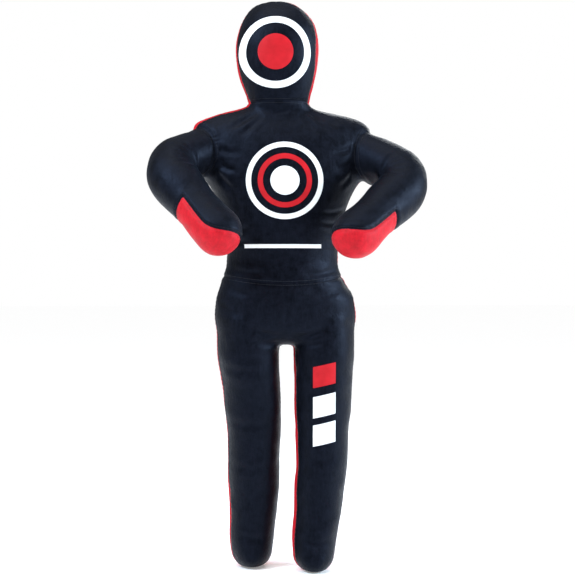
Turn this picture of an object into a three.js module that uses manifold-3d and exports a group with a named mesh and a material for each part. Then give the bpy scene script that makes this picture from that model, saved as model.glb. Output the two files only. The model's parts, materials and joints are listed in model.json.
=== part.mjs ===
// Stuffed grappling mannequin, standing on its soles with both arms bent in front of it.
// Millimetres, +Z up, the mannequin faces -Y, its right side is -X.
// The cover is a thin sewn skin over packed filling. Each body segment is cut out of one continuous
// figure by a wedge at its joint, and the wedge itself is the section that folds when the joint bends.

import * as THREE from 'three';
import { mergeVertices } from 'three/addons/utils/BufferGeometryUtils.js';
import Module from 'manifold-3d';

const wasm = await Module();
wasm.setup();

const SIDES = 16;
const ARM_SIDES = 14;
const SKIN = 3;
const GAP = 0.3;

// Beyond the figure on every side, for cutters that have no end of their own.
const FAR = 1500;

// Points closer than this are one vertex.
const WELD = 1e-4;

// The whole figure is moved by this so that its outer box is centred over the origin.
const ORIGIN_SHIFT = [-6.9, 100.8, 0];

// Height, centre, half width, front depth and back depth of the trunk, from the crotch to the crown.
const TRUNK = [
  [711, 8, 168, 58, 68],
  [738, 8, 212, 98, 114],
  [790, 8, 225, 116, 136],
  [850, 7, 220, 118, 134],
  [905, 1, 198, 113, 122],
  [965, -2, 181, 110, 116],
  [1030, -2, 180, 116, 116],
  [1110, 0, 193, 122, 116],
  [1190, 0, 222, 124, 116],
  [1255, 0, 262, 120, 116],
  [1335, -2, 277, 110, 108],
  [1388, -4, 286, 92, 90],
  [1418, -8, 252, 76, 74],
  [1436, -12, 190, 72, 72],
  [1448, -13, 128, 74, 74],
  [1466, -13, 97, 82, 80],
  [1525, -15, 112, 101, 98],
  [1590, -18, 127, 117, 114],
  [1650, -19, 131, 122, 120],
  [1705, -18, 122, 115, 113],
  [1748, -18, 101, 96, 94],
  [1779, -20, 67, 62, 62],
  [1797, -22, 20, 18, 18],
];
const TRUNK_POWER = 2.3;

// Height, half width, front depth and back depth of both legs, then the centres of the right and the left.
const LEGS = [
  [0, 24, 46, 30, -98, 93],
  [9, 44, 74, 50, -98, 93],
  [36, 61, 88, 64, -98, 93],
  [95, 69, 80, 72, -97, 96],
  [190, 74, 78, 82, -92, 108],
  [300, 79, 82, 90, -91, 118],
  [420, 82, 86, 90, -91, 122],
  [540, 89, 94, 96, -96, 125],
  [690, 96, 104, 110, -111, 130],
  [800, 100, 104, 124, -112, 126],
];
const LEG_POWER = 2.1;
const LEG_SPLIT_X = 7;

// The left leg is a little forward and the right leg a little back, growing from the hips down.
const FOOT_Y = { right: 38, left: -38 };
const LEG_ROOT_Z = 760;

// The arm's path runs from the armhole to a rounded corner at the elbow and on to the hand.
const ARM_BEND_RADIUS = 85;
const ARMS = {
  right: { root: [-222, 6, 1330], corner: [-384, -105, 1266], hand: [-212, -266, 1056] },
  left: { root: [222, 6, 1334], corner: [402, -106, 1226], hand: [198, -266, 1048] },
};
const UPPER_ARM_RADII = [70, 74];
const ELBOW_RADIUS = 77;
const FOREARM_RADII = [73, 67, 70];
const HAND_RADIUS = 72;

// Steps round the elbow, and the latitudes of the rings that close the hand.
const ARM_BEND_STEPS = 4;
const HAND_DOME = [0, 36, 66, 84];

// Hinges: the angle that each wedge opens by on its near side and on its far side, and how far it
// reaches. Near is the front at the neck, waist and hip, the back at the knee, the top at the
// shoulder and the outside at the elbow.
const NECK = { at: [-13, 8, 1478], near: 15, far: 10, reach: 260 };
const WAIST = { at: [0, 25, 938], near: 15, far: 5, reach: 260 };
const HIP = { x: { right: -111, left: 126 }, y: 30, z: 756, near: 25, far: 5, reach: 260 };
const KNEE = { x: { right: -95, left: 121 }, y: -38, z: 372, near: 35, far: 1, reach: 200 };
const SHOULDER = { x: 268, z: 1320, near: 22, far: 5, reach: 160 };
const ELBOW = { near: 15, far: 8, reach: 105 };

// Half the width of a wedge at the hinge itself.
const SLIT = 2;

// Where the side seams run, as height and y, and how far each is turned about the vertical.
const BODY_SEAM = [
  [600, -22],
  [850, -16],
  [1000, -8],
  [1250, -10],
  [1405, -24],
  [1480, -30],
];
const HEAD_SEAM = [
  [1400, -28],
  [1480, -30],
  [1645, -42],
  [1770, -26],
  [1900, -10],
];
const HEAD_SEAM_X = -20;
const HEAD_SEAM_TURN = -7;
const LEG_SEAM = { x: { right: -98, left: 118 }, y: -8, bottom: -100, top: 900, turn: 10 };

// Palm panel: where it starts along the forearm and how its edge is tilted towards the fingertips.
const PALM_START = 0.36;
const PALM_TILT = 0.14;
const PALM_DROP = 12;

const FACE = { x: -31, z: 1620, disc: 55, ringInner: 90, ringOuter: 111, thick: 1 };
const CHEST_MARK = { x: -3, z: 1221, rings: [[120, 104], [84, 68]], dot: 45, thick: 0.8 };
const CHEST_BAR = { x: -7, z: 1018, halfLength: 119, halfHeight: 6 };
const LEG_MARK = { x: 122, barHalf: 35, barHeight: 66, slant: 16, bases: [576, 482, 394], thick: 0.8 };

// Prints lie wholly in front of the first of these depths, and the zip behind the second.
const FRONT_Y = -20;
const REAR_Y = 60;

// Zip up the middle of the back, whose surface is flat there at this depth.
const ZIP = { surfaceY: 116, bottom: 1012, top: 1250, tapeInner: 2.6, tapeOuter: 17, tapeThick: 1 };
const COIL = { inner: 0.2, outer: 2.2, low: 0.5, high: 3, bottom: 1021, top: 1246 };
const SLIDER = { z: 1223, length: 15, halfWidth: 4.6, flange: 1.4, low: 2, under: 3.3, over: 5.2, bevel: 1 };
const BRIDGE = { halfWidth: 1.2, feet: [1, 4, 12, 15], under: 8.1, over: 9.5, sunk: 0.5 };
const PULL = { halfWidth: 3.6, low: 6.2, high: 7.2, bottom: 1186, top: 1231.5, corner: 2 };
const PULL_HOLE = { halfWidth: 2.1, bottom: 1219, top: 1229.5 };
const STOP = { halfWidth: 2.2, high: 3.4, spare: 1 };

const BLACK = { color: 0x11141a, roughness: 0.85, metalness: 0 };
const RED = { color: 0xc4161e, roughness: 0.8, metalness: 0 };
const WHITE = { color: 0xf0efec, roughness: 0.7, metalness: 0 };
const FILLING = { color: 0xa9a7a2, roughness: 1, metalness: 0 };
const TAPE = { color: 0x1a1a1c, roughness: 0.8, metalness: 0 };
const METAL = { color: 0x8c8d90, roughness: 0.35, metalness: 1 };

const degrees = (a) => (a * Math.PI) / 180;

// ---------------------------------------------------------------- solids

function solidOf(geometry) {
  const bare = geometry.clone();
  bare.deleteAttribute('normal');
  bare.deleteAttribute('uv');
  const merged = mergeVertices(bare, WELD);
  const vertProperties = new Float32Array(merged.attributes.position.array);
  const triVerts = new Uint32Array(merged.index.array);
  return new wasm.Manifold(new wasm.Mesh({ numProp: 3, vertProperties, triVerts }));
}

function geometryOf(solid) {
  const mesh = solid.getMesh();
  const geometry = new THREE.BufferGeometry();
  geometry.setAttribute('position', new THREE.BufferAttribute(new Float32Array(mesh.vertProperties), 3));
  geometry.setIndex(new THREE.BufferAttribute(new Uint32Array(mesh.triVerts), 1));
  return geometry;
}

// A closed body through a list of rings that all have the same number of points.
function loft(rings) {
  const sides = rings[0].length;
  const points = rings.flat();
  const faces = [];
  for (let r = 0; r < rings.length - 1; r++) {
    for (let s = 0; s < sides; s++) {
      const a = r * sides + s;
      const b = r * sides + ((s + 1) % sides);
      faces.push(a, b, b + sides);
      faces.push(a, b + sides, a + sides);
    }
  }
  for (const end of [0, rings.length - 1]) {
    const centre = new THREE.Vector3();
    rings[end].forEach((p) => centre.addScaledVector(p, 1 / sides));
    const c = points.push(centre) - 1;
    for (let s = 0; s < sides; s++) {
      const a = end * sides + s;
      const b = end * sides + ((s + 1) % sides);
      faces.push(...(end ? [c, a, b] : [c, b, a]));
    }
  }
  const geometry = new THREE.BufferGeometry().setFromPoints(points);
  geometry.setIndex(faces);
  return geometry;
}

// The same body with its surface moved out along its normals.
function grown(geometry, distance) {
  const copy = geometry.clone();
  copy.computeVertexNormals();
  const { position, normal } = copy.attributes;
  for (let i = 0; i < position.count; i++) {
    position.setXYZ(
      i,
      position.getX(i) + normal.getX(i) * distance,
      position.getY(i) + normal.getY(i) * distance,
      position.getZ(i) + normal.getZ(i) * distance,
    );
  }
  return copy;
}

function section(x, y, z, halfWidth, front, back, power) {
  const ring = [];
  for (let i = 0; i < SIDES; i++) {
    const angle = (i / SIDES) * 2 * Math.PI;
    const c = Math.cos(angle);
    const s = Math.sin(angle);
    const depth = s < 0 ? front : back;
    const px = Math.sign(c) * Math.abs(c) ** (2 / power) * halfWidth;
    const py = Math.sign(s) * Math.abs(s) ** (2 / power) * depth;
    ring.push(new THREE.Vector3(x + px, y + py, z));
  }
  return ring;
}

// A slab with the given outline, thick along Z, then turned and moved.
function slab(outline, depth, matrix) {
  const shape = new THREE.Shape(outline.map(([a, b]) => new THREE.Vector2(a, b)));
  const geometry = new THREE.ExtrudeGeometry(shape, { depth: 2 * depth, bevelEnabled: false });
  geometry.translate(0, 0, -depth);
  return solidOf(geometry.applyMatrix4(matrix));
}

function block(x0, x1, y0, y1, z0, z1) {
  const box = new THREE.BoxGeometry(x1 - x0, y1 - y0, z1 - z0);
  return solidOf(box.translate((x0 + x1) / 2, (y0 + y1) / 2, (z0 + z1) / 2));
}

// Axes for a slab: its outline's first axis, second axis and the direction it is thick in.
function axes(first, second, thick, origin) {
  const matrix = new THREE.Matrix4().makeBasis(first, second, thick);
  return matrix.setPosition(...origin);
}

const X = new THREE.Vector3(1, 0, 0);
const Y = new THREE.Vector3(0, 1, 0);
const Z = new THREE.Vector3(0, 0, 1);

// ---------------------------------------------------------------- cutters

// A bow-tie wedge: open by one angle on the side `side` points to and by another on the far side.
// `along` is the limb's direction. `spare` widens it, so that neighbours end a little apart.
function wedge({ origin, side, along, near, far, reach }, spare) {
  const thick = new THREE.Vector3().crossVectors(side, along);
  const nearRise = Math.tan(degrees(near)) * reach;
  const farRise = Math.tan(degrees(far)) * reach;
  const d = SLIT + spare;
  const outline = [
    [-reach, -farRise - d],
    [0, -d],
    [reach, -nearRise - d],
    [reach, nearRise + d],
    [0, d],
    [-reach, farRise + d],
  ];
  return slab(outline, FAR, axes(side, along, thick, origin));
}

// Everything in front of a side seam, or behind it.
function seamSide(profile, centreX, turn, isFront) {
  const edge = profile.map(([z, y]) => [y + (isFront ? -GAP : GAP) / 2, z]);
  const outside = isFront ? -FAR : FAR;
  const outline = [...edge, [outside, profile.at(-1)[0]], [outside, profile[0][0]]];
  const matrix = new THREE.Matrix4()
    .makeTranslation(centreX, 0, 0)
    .multiply(new THREE.Matrix4().makeRotationZ(degrees(turn)))
    .multiply(axes(Y, Z, X, [0, 0, 0]));
  if (!isFront) {
    outline.reverse();
  }
  return slab(outline, FAR, matrix);
}

const above = (z) => block(-FAR, FAR, -FAR, FAR, z, FAR * 2);
const below = (z) => block(-FAR, FAR, -FAR, FAR, -FAR, z);
const rightOf = (x) => block(-FAR, x, -FAR, FAR, -FAR, FAR * 2);
const leftOf = (x) => block(x, FAR, -FAR, FAR, -FAR, FAR * 2);

// ---------------------------------------------------------------- the figure's outer surface

const trunkGeometry = loft(TRUNK.map(([z, x, w, f, b]) => section(x, 0, z, w, f, b, TRUNK_POWER)));

const legCentreY = (side, z) => FOOT_Y[side] * (1 - Math.min(z, LEG_ROOT_Z) / LEG_ROOT_Z);

function legGeometry(side) {
  const rings = LEGS.map(([z, w, f, b, rightX, leftX]) => {
    const x = side === 'right' ? rightX : leftX;
    return section(x, legCentreY(side, z), z, w, f, b, LEG_POWER);
  });
  return loft(rings);
}

// The centre line of one arm, as stations with a position, a direction and a radius.
function armStations({ root, corner, hand }) {
  const [a, c, h] = [root, corner, hand].map((p) => new THREE.Vector3(...p));
  const upper = new THREE.Vector3().subVectors(c, a).normalize();
  const fore = new THREE.Vector3().subVectors(h, c).normalize();
  const normal = new THREE.Vector3().crossVectors(upper, fore).normalize();
  const turn = upper.angleTo(fore);
  const cut = ARM_BEND_RADIUS * Math.tan(turn / 2);
  const arcStart = c.clone().addScaledVector(upper, -cut);
  const arcEnd = c.clone().addScaledVector(fore, cut);
  const stations = [];
  UPPER_ARM_RADII.forEach((radius, i) => {
    const t = i / UPPER_ARM_RADII.length;
    stations.push({ at: a.clone().lerp(arcStart, t), direction: upper.clone(), radius });
  });
  const inward = new THREE.Vector3().crossVectors(normal, upper);
  const arcCentre = arcStart.clone().addScaledVector(inward, ARM_BEND_RADIUS);
  for (let i = 0; i <= ARM_BEND_STEPS; i++) {
    const angle = (turn * i) / ARM_BEND_STEPS;
    const spoke = arcStart.clone().sub(arcCentre).applyAxisAngle(normal, angle);
    const direction = upper.clone().applyAxisAngle(normal, angle);
    stations.push({ at: arcCentre.clone().add(spoke), direction, radius: ELBOW_RADIUS });
  }
  FOREARM_RADII.forEach((radius, i) => {
    const t = (i + 1) / (FOREARM_RADII.length + 1);
    stations.push({ at: arcEnd.clone().lerp(h, t), direction: fore.clone(), radius });
  });
  for (const angle of HAND_DOME) {
    const at = h.clone().addScaledVector(fore, Math.sin(degrees(angle)) * HAND_RADIUS);
    stations.push({ at, direction: fore.clone(), radius: Math.cos(degrees(angle)) * HAND_RADIUS });
  }
  const bend = UPPER_ARM_RADII.length + ARM_BEND_STEPS / 2;
  return { stations, normal, bend, fore, arcEnd, hand: h };
}

function armLoft({ stations, normal }) {
  const rings = stations.map(({ at, direction, radius }) => {
    const across = new THREE.Vector3().crossVectors(direction, normal);
    return Array.from({ length: ARM_SIDES }, (_, i) => {
      const angle = (i / ARM_SIDES) * 2 * Math.PI;
      return at
        .clone()
        .addScaledVector(normal, Math.cos(angle) * radius)
        .addScaledVector(across, Math.sin(angle) * radius);
    });
  });
  return loft(rings);
}

// ---------------------------------------------------------------- nodes

const figure = new THREE.Group();
figure.name = 'grappling_mannequin';
figure.position.set(...ORIGIN_SHIFT);

// A segment is a group whose origin is its own hinge, inside the segment that it hangs on.
function segment(parent, hinge) {
  const group = new THREE.Group();
  group.userData.hinge = new THREE.Vector3(...hinge);
  group.position.copy(group.userData.hinge);
  if (parent !== figure) {
    group.position.sub(parent.userData.hinge);
  }
  parent.add(group);
  return group;
}

function place(group, name, solid, finish) {
  const { x, y, z } = group.userData.hinge;
  const geometry = geometryOf(solid).translate(-x, -y, -z);
  const mesh = new THREE.Mesh(geometry, new THREE.MeshStandardMaterial(finish));
  mesh.name = name;
  group.add(mesh);
}

// Outer skin, shell and stuffing of one lofted body.
function layers(...geometries) {
  const union = (distance) =>
    geometries.map((g) => solidOf(grown(g, distance))).reduce((all, one) => all.add(one));
  const outer = union(0);
  return { outer, shell: outer.subtract(union(-SKIN)), filling: union(-SKIN - GAP), union };
}

const mainBody = layers(trunkGeometry, legGeometry('right'), legGeometry('left'));
const bodyFront = seamSide(BODY_SEAM, 0, 0, true);
const bodyBack = seamSide(BODY_SEAM, 0, 0, false);
const headFront = seamSide(HEAD_SEAM, HEAD_SEAM_X, HEAD_SEAM_TURN, true);
const headBack = seamSide(HEAD_SEAM, HEAD_SEAM_X, HEAD_SEAM_TURN, false);

const FORWARD = Y.clone().negate();
const neckJoint = { ...NECK, origin: NECK.at, side: FORWARD, along: Z };
const waistJoint = { ...WAIST, origin: WAIST.at, side: FORWARD, along: Z };
const hipJoint = { ...HIP, origin: [0, HIP.y, HIP.z], side: FORWARD, along: Z };

function shoulderJoint(sign) {
  const along = new THREE.Vector3(sign, 0, 0);
  return { ...SHOULDER, origin: [sign * SHOULDER.x, 0, SHOULDER.z], side: Z, along };
}

const pelvis = segment(figure, [0, 0, 0]);
const torso = segment(pelvis, WAIST.at);
const head = segment(torso, NECK.at);

// Head and neck
const headSpace = above(NECK.at[2]).subtract(wedge(neckJoint, GAP));
place(head, 'hood_front', mainBody.shell.intersect(headSpace).intersect(headFront), BLACK);
place(head, 'hood_back', mainBody.shell.intersect(headSpace).intersect(headBack), RED);
place(head, 'head_filling', mainBody.filling.intersect(headSpace), FILLING);
const neck = mainBody.outer.intersect(wedge(neckJoint, 0));
place(torso, 'neck_section_front', neck.intersect(headFront), BLACK);
place(torso, 'neck_section_back', neck.intersect(headBack), RED);

// Torso
const armholes = wedge(shoulderJoint(-1), GAP).add(wedge(shoulderJoint(1), GAP));
const torsoSpace = above(WAIST.at[2])
  .intersect(below(NECK.at[2]))
  .intersect(block(-SHOULDER.x, SHOULDER.x, -FAR, FAR, 0, FAR * 2))
  .subtract(wedge(neckJoint, GAP))
  .subtract(wedge(waistJoint, GAP))
  .subtract(armholes);
const torsoShell = mainBody.shell.intersect(torsoSpace);
place(torso, 'torso_front', torsoShell.intersect(bodyFront), BLACK);
const backShell = torsoShell.intersect(bodyBack);
place(torso, 'torso_back_right', backShell.intersect(rightOf(-GAP / 2)), RED);
place(torso, 'torso_back_left', backShell.intersect(leftOf(GAP / 2)), RED);
place(torso, 'torso_filling', mainBody.filling.intersect(torsoSpace), FILLING);

// Waist
const waist = mainBody.outer.intersect(wedge(waistJoint, 0));
place(pelvis, 'waist_section_front', waist.intersect(bodyFront), BLACK);
place(pelvis, 'waist_section_back', waist.intersect(bodyBack), RED);

// Pelvis
const pelvisSpace = below(WAIST.at[2])
  .intersect(above(HIP.z))
  .subtract(wedge(waistJoint, GAP))
  .subtract(wedge(hipJoint, GAP));
const pelvisShell = mainBody.shell.intersect(pelvisSpace);
place(pelvis, 'pelvis_front', pelvisShell.intersect(bodyFront), BLACK);
place(pelvis, 'pelvis_back', pelvisShell.intersect(bodyBack), RED);
place(pelvis, 'pelvis_filling', mainBody.filling.intersect(pelvisSpace), FILLING);

// Legs
const thighs = {};
for (const side of ['right', 'left']) {
  const half = side === 'right' ? rightOf(LEG_SPLIT_X - GAP) : leftOf(LEG_SPLIT_X + GAP);
  const kneeY = KNEE.y + legCentreY(side, KNEE.z);
  const kneeJoint = { ...KNEE, origin: [0, kneeY, KNEE.z], side: Y, along: Z };
  const thighSpace = half
    .intersect(below(HIP.z))
    .intersect(above(KNEE.z))
    .subtract(wedge(hipJoint, GAP))
    .subtract(wedge(kneeJoint, GAP));
  const shinSpace = half.intersect(below(KNEE.z)).subtract(wedge(kneeJoint, GAP));
  const heights = [LEG_SEAM.bottom, LEG_ROOT_Z, LEG_SEAM.top];
  const legSeam = heights.map((z) => [z, LEG_SEAM.y + legCentreY(side, z)]);
  const front = seamSide(legSeam, LEG_SEAM.x[side], LEG_SEAM.turn, true);
  const back = seamSide(legSeam, LEG_SEAM.x[side], LEG_SEAM.turn, false);
  const hip = mainBody.outer.intersect(wedge(hipJoint, 0)).intersect(half);
  const knee = mainBody.outer.intersect(wedge(kneeJoint, 0)).intersect(half);
  const thigh = segment(pelvis, [HIP.x[side], HIP.y, HIP.z]);
  const shin = segment(thigh, [KNEE.x[side], kneeY, KNEE.z]);
  thighs[side] = thigh;
  place(pelvis, `${side}_hip_section`, hip, BLACK);
  place(thigh, `${side}_thigh_front`, mainBody.shell.intersect(thighSpace).intersect(front), BLACK);
  place(thigh, `${side}_thigh_back`, mainBody.shell.intersect(thighSpace).intersect(back), RED);
  place(thigh, `${side}_thigh_filling`, mainBody.filling.intersect(thighSpace), FILLING);
  place(thigh, `${side}_knee_section`, knee, RED);
  place(shin, `${side}_shin_front`, mainBody.shell.intersect(shinSpace).intersect(front), BLACK);
  place(shin, `${side}_shin_back`, mainBody.shell.intersect(shinSpace).intersect(back), RED);
  place(shin, `${side}_shin_filling`, mainBody.filling.intersect(shinSpace), FILLING);
}

// Arms
for (const side of ['right', 'left']) {
  const sign = side === 'right' ? -1 : 1;
  const path = armStations(ARMS[side]);
  const middle = path.stations[path.bend];
  const upperStations = { stations: path.stations.slice(0, path.bend + 1), normal: path.normal };
  const foreStations = { stations: path.stations.slice(path.bend), normal: path.normal };
  const upper = layers(armLoft(upperStations), trunkGeometry);
  const fore = layers(armLoft(foreStations));
  const whole = layers(armLoft(path));
  const outward = new THREE.Vector3().crossVectors(middle.direction, path.normal);
  const elbowJoint = { ...ELBOW, origin: middle.at.toArray(), side: outward, along: middle.direction };
  const upperArm = segment(torso, [sign * SHOULDER.x, 0, SHOULDER.z]);
  const forearm = segment(upperArm, middle.at.toArray());
  const elbow = wedge(elbowJoint, GAP);
  const outside = sign < 0 ? rightOf(-SHOULDER.x) : leftOf(SHOULDER.x);
  const upperSpace = outside.subtract(wedge(shoulderJoint(sign), GAP)).subtract(elbow);
  place(upperArm, `${side}_upper_sleeve`, upper.shell.intersect(upperSpace), BLACK);
  place(upperArm, `${side}_upper_arm_filling`, upper.filling.intersect(upperSpace), FILLING);
  const shoulder = upper.outer.intersect(wedge(shoulderJoint(sign), 0)).subtract(elbow);
  place(torso, `${side}_shoulder_section`, shoulder, BLACK);
  place(upperArm, `${side}_elbow_section`, whole.outer.intersect(wedge(elbowJoint, 0)), BLACK);

  const down = new THREE.Vector3().crossVectors(path.fore, Y).normalize();
  down.multiplyScalar(down.z < 0 ? 1 : -1);
  const palmUp = down.clone().addScaledVector(path.fore, PALM_TILT).normalize().negate();
  const palmAcross = new THREE.Vector3().crossVectors(palmUp, path.fore).normalize();
  const palmAlong = new THREE.Vector3().crossVectors(palmAcross, palmUp).normalize();
  const seam = path.arcEnd.clone().lerp(path.hand, PALM_START).addScaledVector(palmUp, -PALM_DROP);
  const palmThick = new THREE.Vector3().crossVectors(palmAlong, palmUp);
  const palmSpace = (spare) => {
    const outline = [
      [-spare, -FAR],
      [FAR, -FAR],
      [FAR, spare],
      [-spare, spare],
    ];
    return slab(outline, FAR, axes(palmAlong, palmUp, palmThick, seam.toArray()));
  };
  const foreShell = fore.shell.subtract(elbow);
  place(forearm, `${side}_fore_sleeve`, foreShell.subtract(palmSpace(GAP)), BLACK);
  place(forearm, `${side}_palm_panel`, foreShell.intersect(palmSpace(0)), RED);
  place(forearm, `${side}_forearm_filling`, fore.filling.subtract(elbow), FILLING);
}

// Printed marks lie on the cover as thin layers.
function printed(outline, hole, centre, thick) {
  const frame = axes(X, Z, FORWARD, [centre[0], 0, centre[1]]);
  const shape = slab(outline, FAR, frame);
  const layer = mainBody.union(GAP + thick).subtract(mainBody.union(GAP));
  const front = block(-FAR, FAR, -FAR, FRONT_Y, 0, FAR * 2);
  const cut = hole ? shape.subtract(slab(hole, FAR, frame)) : shape;
  return layer.intersect(front).intersect(cut);
}

function circle(radius, count = 20) {
  return Array.from({ length: count }, (_, i) => {
    const angle = (i / count) * 2 * Math.PI;
    return [Math.cos(angle) * radius, Math.sin(angle) * radius];
  });
}

const face = [FACE.x, FACE.z];
place(head, 'target_ring', printed(circle(FACE.ringOuter), circle(FACE.ringInner), face, FACE.thick), WHITE);
place(head, 'target_disc', printed(circle(FACE.disc), null, face, FACE.thick), RED);

const chest = [CHEST_MARK.x, CHEST_MARK.z];
CHEST_MARK.rings.forEach(([outer, inner], i) => {
  const finish = i ? RED : WHITE;
  const name = i ? 'chest_inner_ring' : 'chest_outer_ring';
  place(torso, name, printed(circle(outer), circle(inner), chest, CHEST_MARK.thick), finish);
});
place(torso, 'chest_dot', printed(circle(CHEST_MARK.dot), null, chest, CHEST_MARK.thick), WHITE);

const { halfLength, halfHeight } = CHEST_BAR;
const bar = [
  [-halfLength, -halfHeight],
  [halfLength, -halfHeight],
  [halfLength, halfHeight],
  [-halfLength, halfHeight],
];
place(torso, 'chest_bar', printed(bar, null, [CHEST_BAR.x, CHEST_BAR.z], CHEST_MARK.thick), WHITE);

LEG_MARK.bases.forEach((z, i) => {
  const { barHalf, barHeight, slant, thick } = LEG_MARK;
  const outline = [
    [-barHalf, 0],
    [barHalf, slant],
    [barHalf, slant + barHeight],
    [-barHalf, barHeight],
  ];
  const name = `leg_bar_${['top', 'middle', 'bottom'][i]}`;
  place(thighs.left, name, printed(outline, null, [LEG_MARK.x, z], thick), i ? WHITE : RED);
});

// Zip: tapes and coils on each side, a slider at the top with its bridge and pull, and a bottom stop.
const rear = (offset) => ZIP.surfaceY + offset;
const tapes = mainBody.union(GAP + ZIP.tapeThick).subtract(mainBody.union(GAP));
for (const side of ['right', 'left']) {
  const span = (inner, outer) => (side === 'right' ? [-outer, -inner] : [inner, outer]);
  const tapeSpace = block(...span(ZIP.tapeInner, ZIP.tapeOuter), REAR_Y, FAR, ZIP.bottom, ZIP.top);
  place(torso, `zip_tape_${side}`, tapes.intersect(tapeSpace), TAPE);
  const [x0, x1] = span(COIL.inner, COIL.outer);
  const coil = block(x0, x1, rear(COIL.low), rear(COIL.high), COIL.bottom, COIL.top);
  place(torso, `zip_coil_${side}`, coil, TAPE);
}

const { halfWidth, flange, low, under, over, bevel } = SLIDER;
const channel = slab(
  [
    [-halfWidth, rear(low)],
    [-halfWidth + flange, rear(low)],
    [-halfWidth + flange, rear(under)],
    [halfWidth - flange, rear(under)],
    [halfWidth - flange, rear(low)],
    [halfWidth, rear(low)],
    [halfWidth, rear(over) - bevel],
    [halfWidth - bevel, rear(over)],
    [bevel - halfWidth, rear(over)],
    [-halfWidth, rear(over) - bevel],
  ],
  SLIDER.length / 2,
  axes(X, Y, Z, [0, 0, SLIDER.z + SLIDER.length / 2]),
);
const [footA, footB, footC, footD] = BRIDGE.feet.map((z) => SLIDER.z + z);
const bridge = slab(
  [
    [rear(over) - BRIDGE.sunk, footA],
    [rear(BRIDGE.over), footA],
    [rear(BRIDGE.over), footD],
    [rear(over) - BRIDGE.sunk, footD],
    [rear(over) - BRIDGE.sunk, footC],
    [rear(BRIDGE.under), footC],
    [rear(BRIDGE.under), footB],
    [rear(over) - BRIDGE.sunk, footB],
  ].reverse(),
  BRIDGE.halfWidth,
  axes(Y, Z, X, [0, 0, 0]),
);
const slider = segment(torso, [0, rear(low), SLIDER.z]);
place(slider, 'zip_slider', channel.add(bridge), METAL);

const { corner } = PULL;
const tab = slab(
  [
    [-PULL.halfWidth, PULL.bottom + corner],
    [-PULL.halfWidth + corner, PULL.bottom],
    [PULL.halfWidth - corner, PULL.bottom],
    [PULL.halfWidth, PULL.bottom + corner],
    [PULL.halfWidth, PULL.top - corner],
    [PULL.halfWidth - corner, PULL.top],
    [-PULL.halfWidth + corner, PULL.top],
    [-PULL.halfWidth, PULL.top - corner],
  ],
  (PULL.high - PULL.low) / 2,
  axes(X, Z, FORWARD, [0, rear((PULL.low + PULL.high) / 2), 0]),
);
const holeSpan = [-PULL_HOLE.halfWidth, PULL_HOLE.halfWidth];
const eye = block(...holeSpan, REAR_Y, FAR, PULL_HOLE.bottom, PULL_HOLE.top);
const barZ = (PULL_HOLE.top + PULL.top) / 2;
const pull = segment(slider, [0, rear((PULL.low + PULL.high) / 2), barZ]);
place(pull, 'zip_pull', tab.subtract(eye), METAL);

const stopSpan = [-STOP.halfWidth, STOP.halfWidth, rear(COIL.low), rear(STOP.high)];
const stop = block(...stopSpan, ZIP.bottom + STOP.spare, COIL.bottom - STOP.spare);
place(torso, 'zip_bottom_stop', stop, METAL);

export default figure;
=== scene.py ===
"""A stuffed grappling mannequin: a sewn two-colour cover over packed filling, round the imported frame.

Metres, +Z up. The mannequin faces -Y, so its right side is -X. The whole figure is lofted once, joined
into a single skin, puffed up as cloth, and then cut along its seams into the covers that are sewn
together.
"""

import json
import math

import bpy
import numpy as np
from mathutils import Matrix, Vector


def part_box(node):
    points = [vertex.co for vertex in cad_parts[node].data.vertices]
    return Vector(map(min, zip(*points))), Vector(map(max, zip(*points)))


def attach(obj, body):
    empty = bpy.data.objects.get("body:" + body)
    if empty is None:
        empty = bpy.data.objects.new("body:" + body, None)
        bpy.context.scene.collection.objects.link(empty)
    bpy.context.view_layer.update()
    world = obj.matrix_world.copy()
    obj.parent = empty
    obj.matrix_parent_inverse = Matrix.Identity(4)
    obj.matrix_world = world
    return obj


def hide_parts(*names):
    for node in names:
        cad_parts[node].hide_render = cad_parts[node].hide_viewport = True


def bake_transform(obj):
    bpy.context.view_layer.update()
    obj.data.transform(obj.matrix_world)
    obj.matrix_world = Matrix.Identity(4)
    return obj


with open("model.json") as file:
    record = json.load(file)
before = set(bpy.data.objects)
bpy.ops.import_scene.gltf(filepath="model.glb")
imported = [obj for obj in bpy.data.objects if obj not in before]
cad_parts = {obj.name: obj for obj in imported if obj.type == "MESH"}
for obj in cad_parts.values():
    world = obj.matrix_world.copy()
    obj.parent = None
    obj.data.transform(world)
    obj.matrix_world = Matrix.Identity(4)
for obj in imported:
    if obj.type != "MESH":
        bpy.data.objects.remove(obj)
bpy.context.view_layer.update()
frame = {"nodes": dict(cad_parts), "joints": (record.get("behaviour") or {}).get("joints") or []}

joints = {joint["name"]: joint for joint in frame["joints"]}
SIDES = ("right", "left")
SIGN = {"right": -1.0, "left": 1.0}

# Where the lofts' own origin lies in the frame.
ORIGIN = np.array([-0.0069, 0.1008, 0.0])


# ---------------------------------------------------------------- camera, light and floor

CAMERA_PLACE = (-0.3069, -4.1887, 0.950)
CAMERA_AIM = (0.0698, 0.9976, 0.0)
CAMERA_LENS = 84.7
CAMERA_SHIFT = (0.0078, -0.0337)

LIGHT_AIM = (0.0, 0.1, 1.0)
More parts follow.
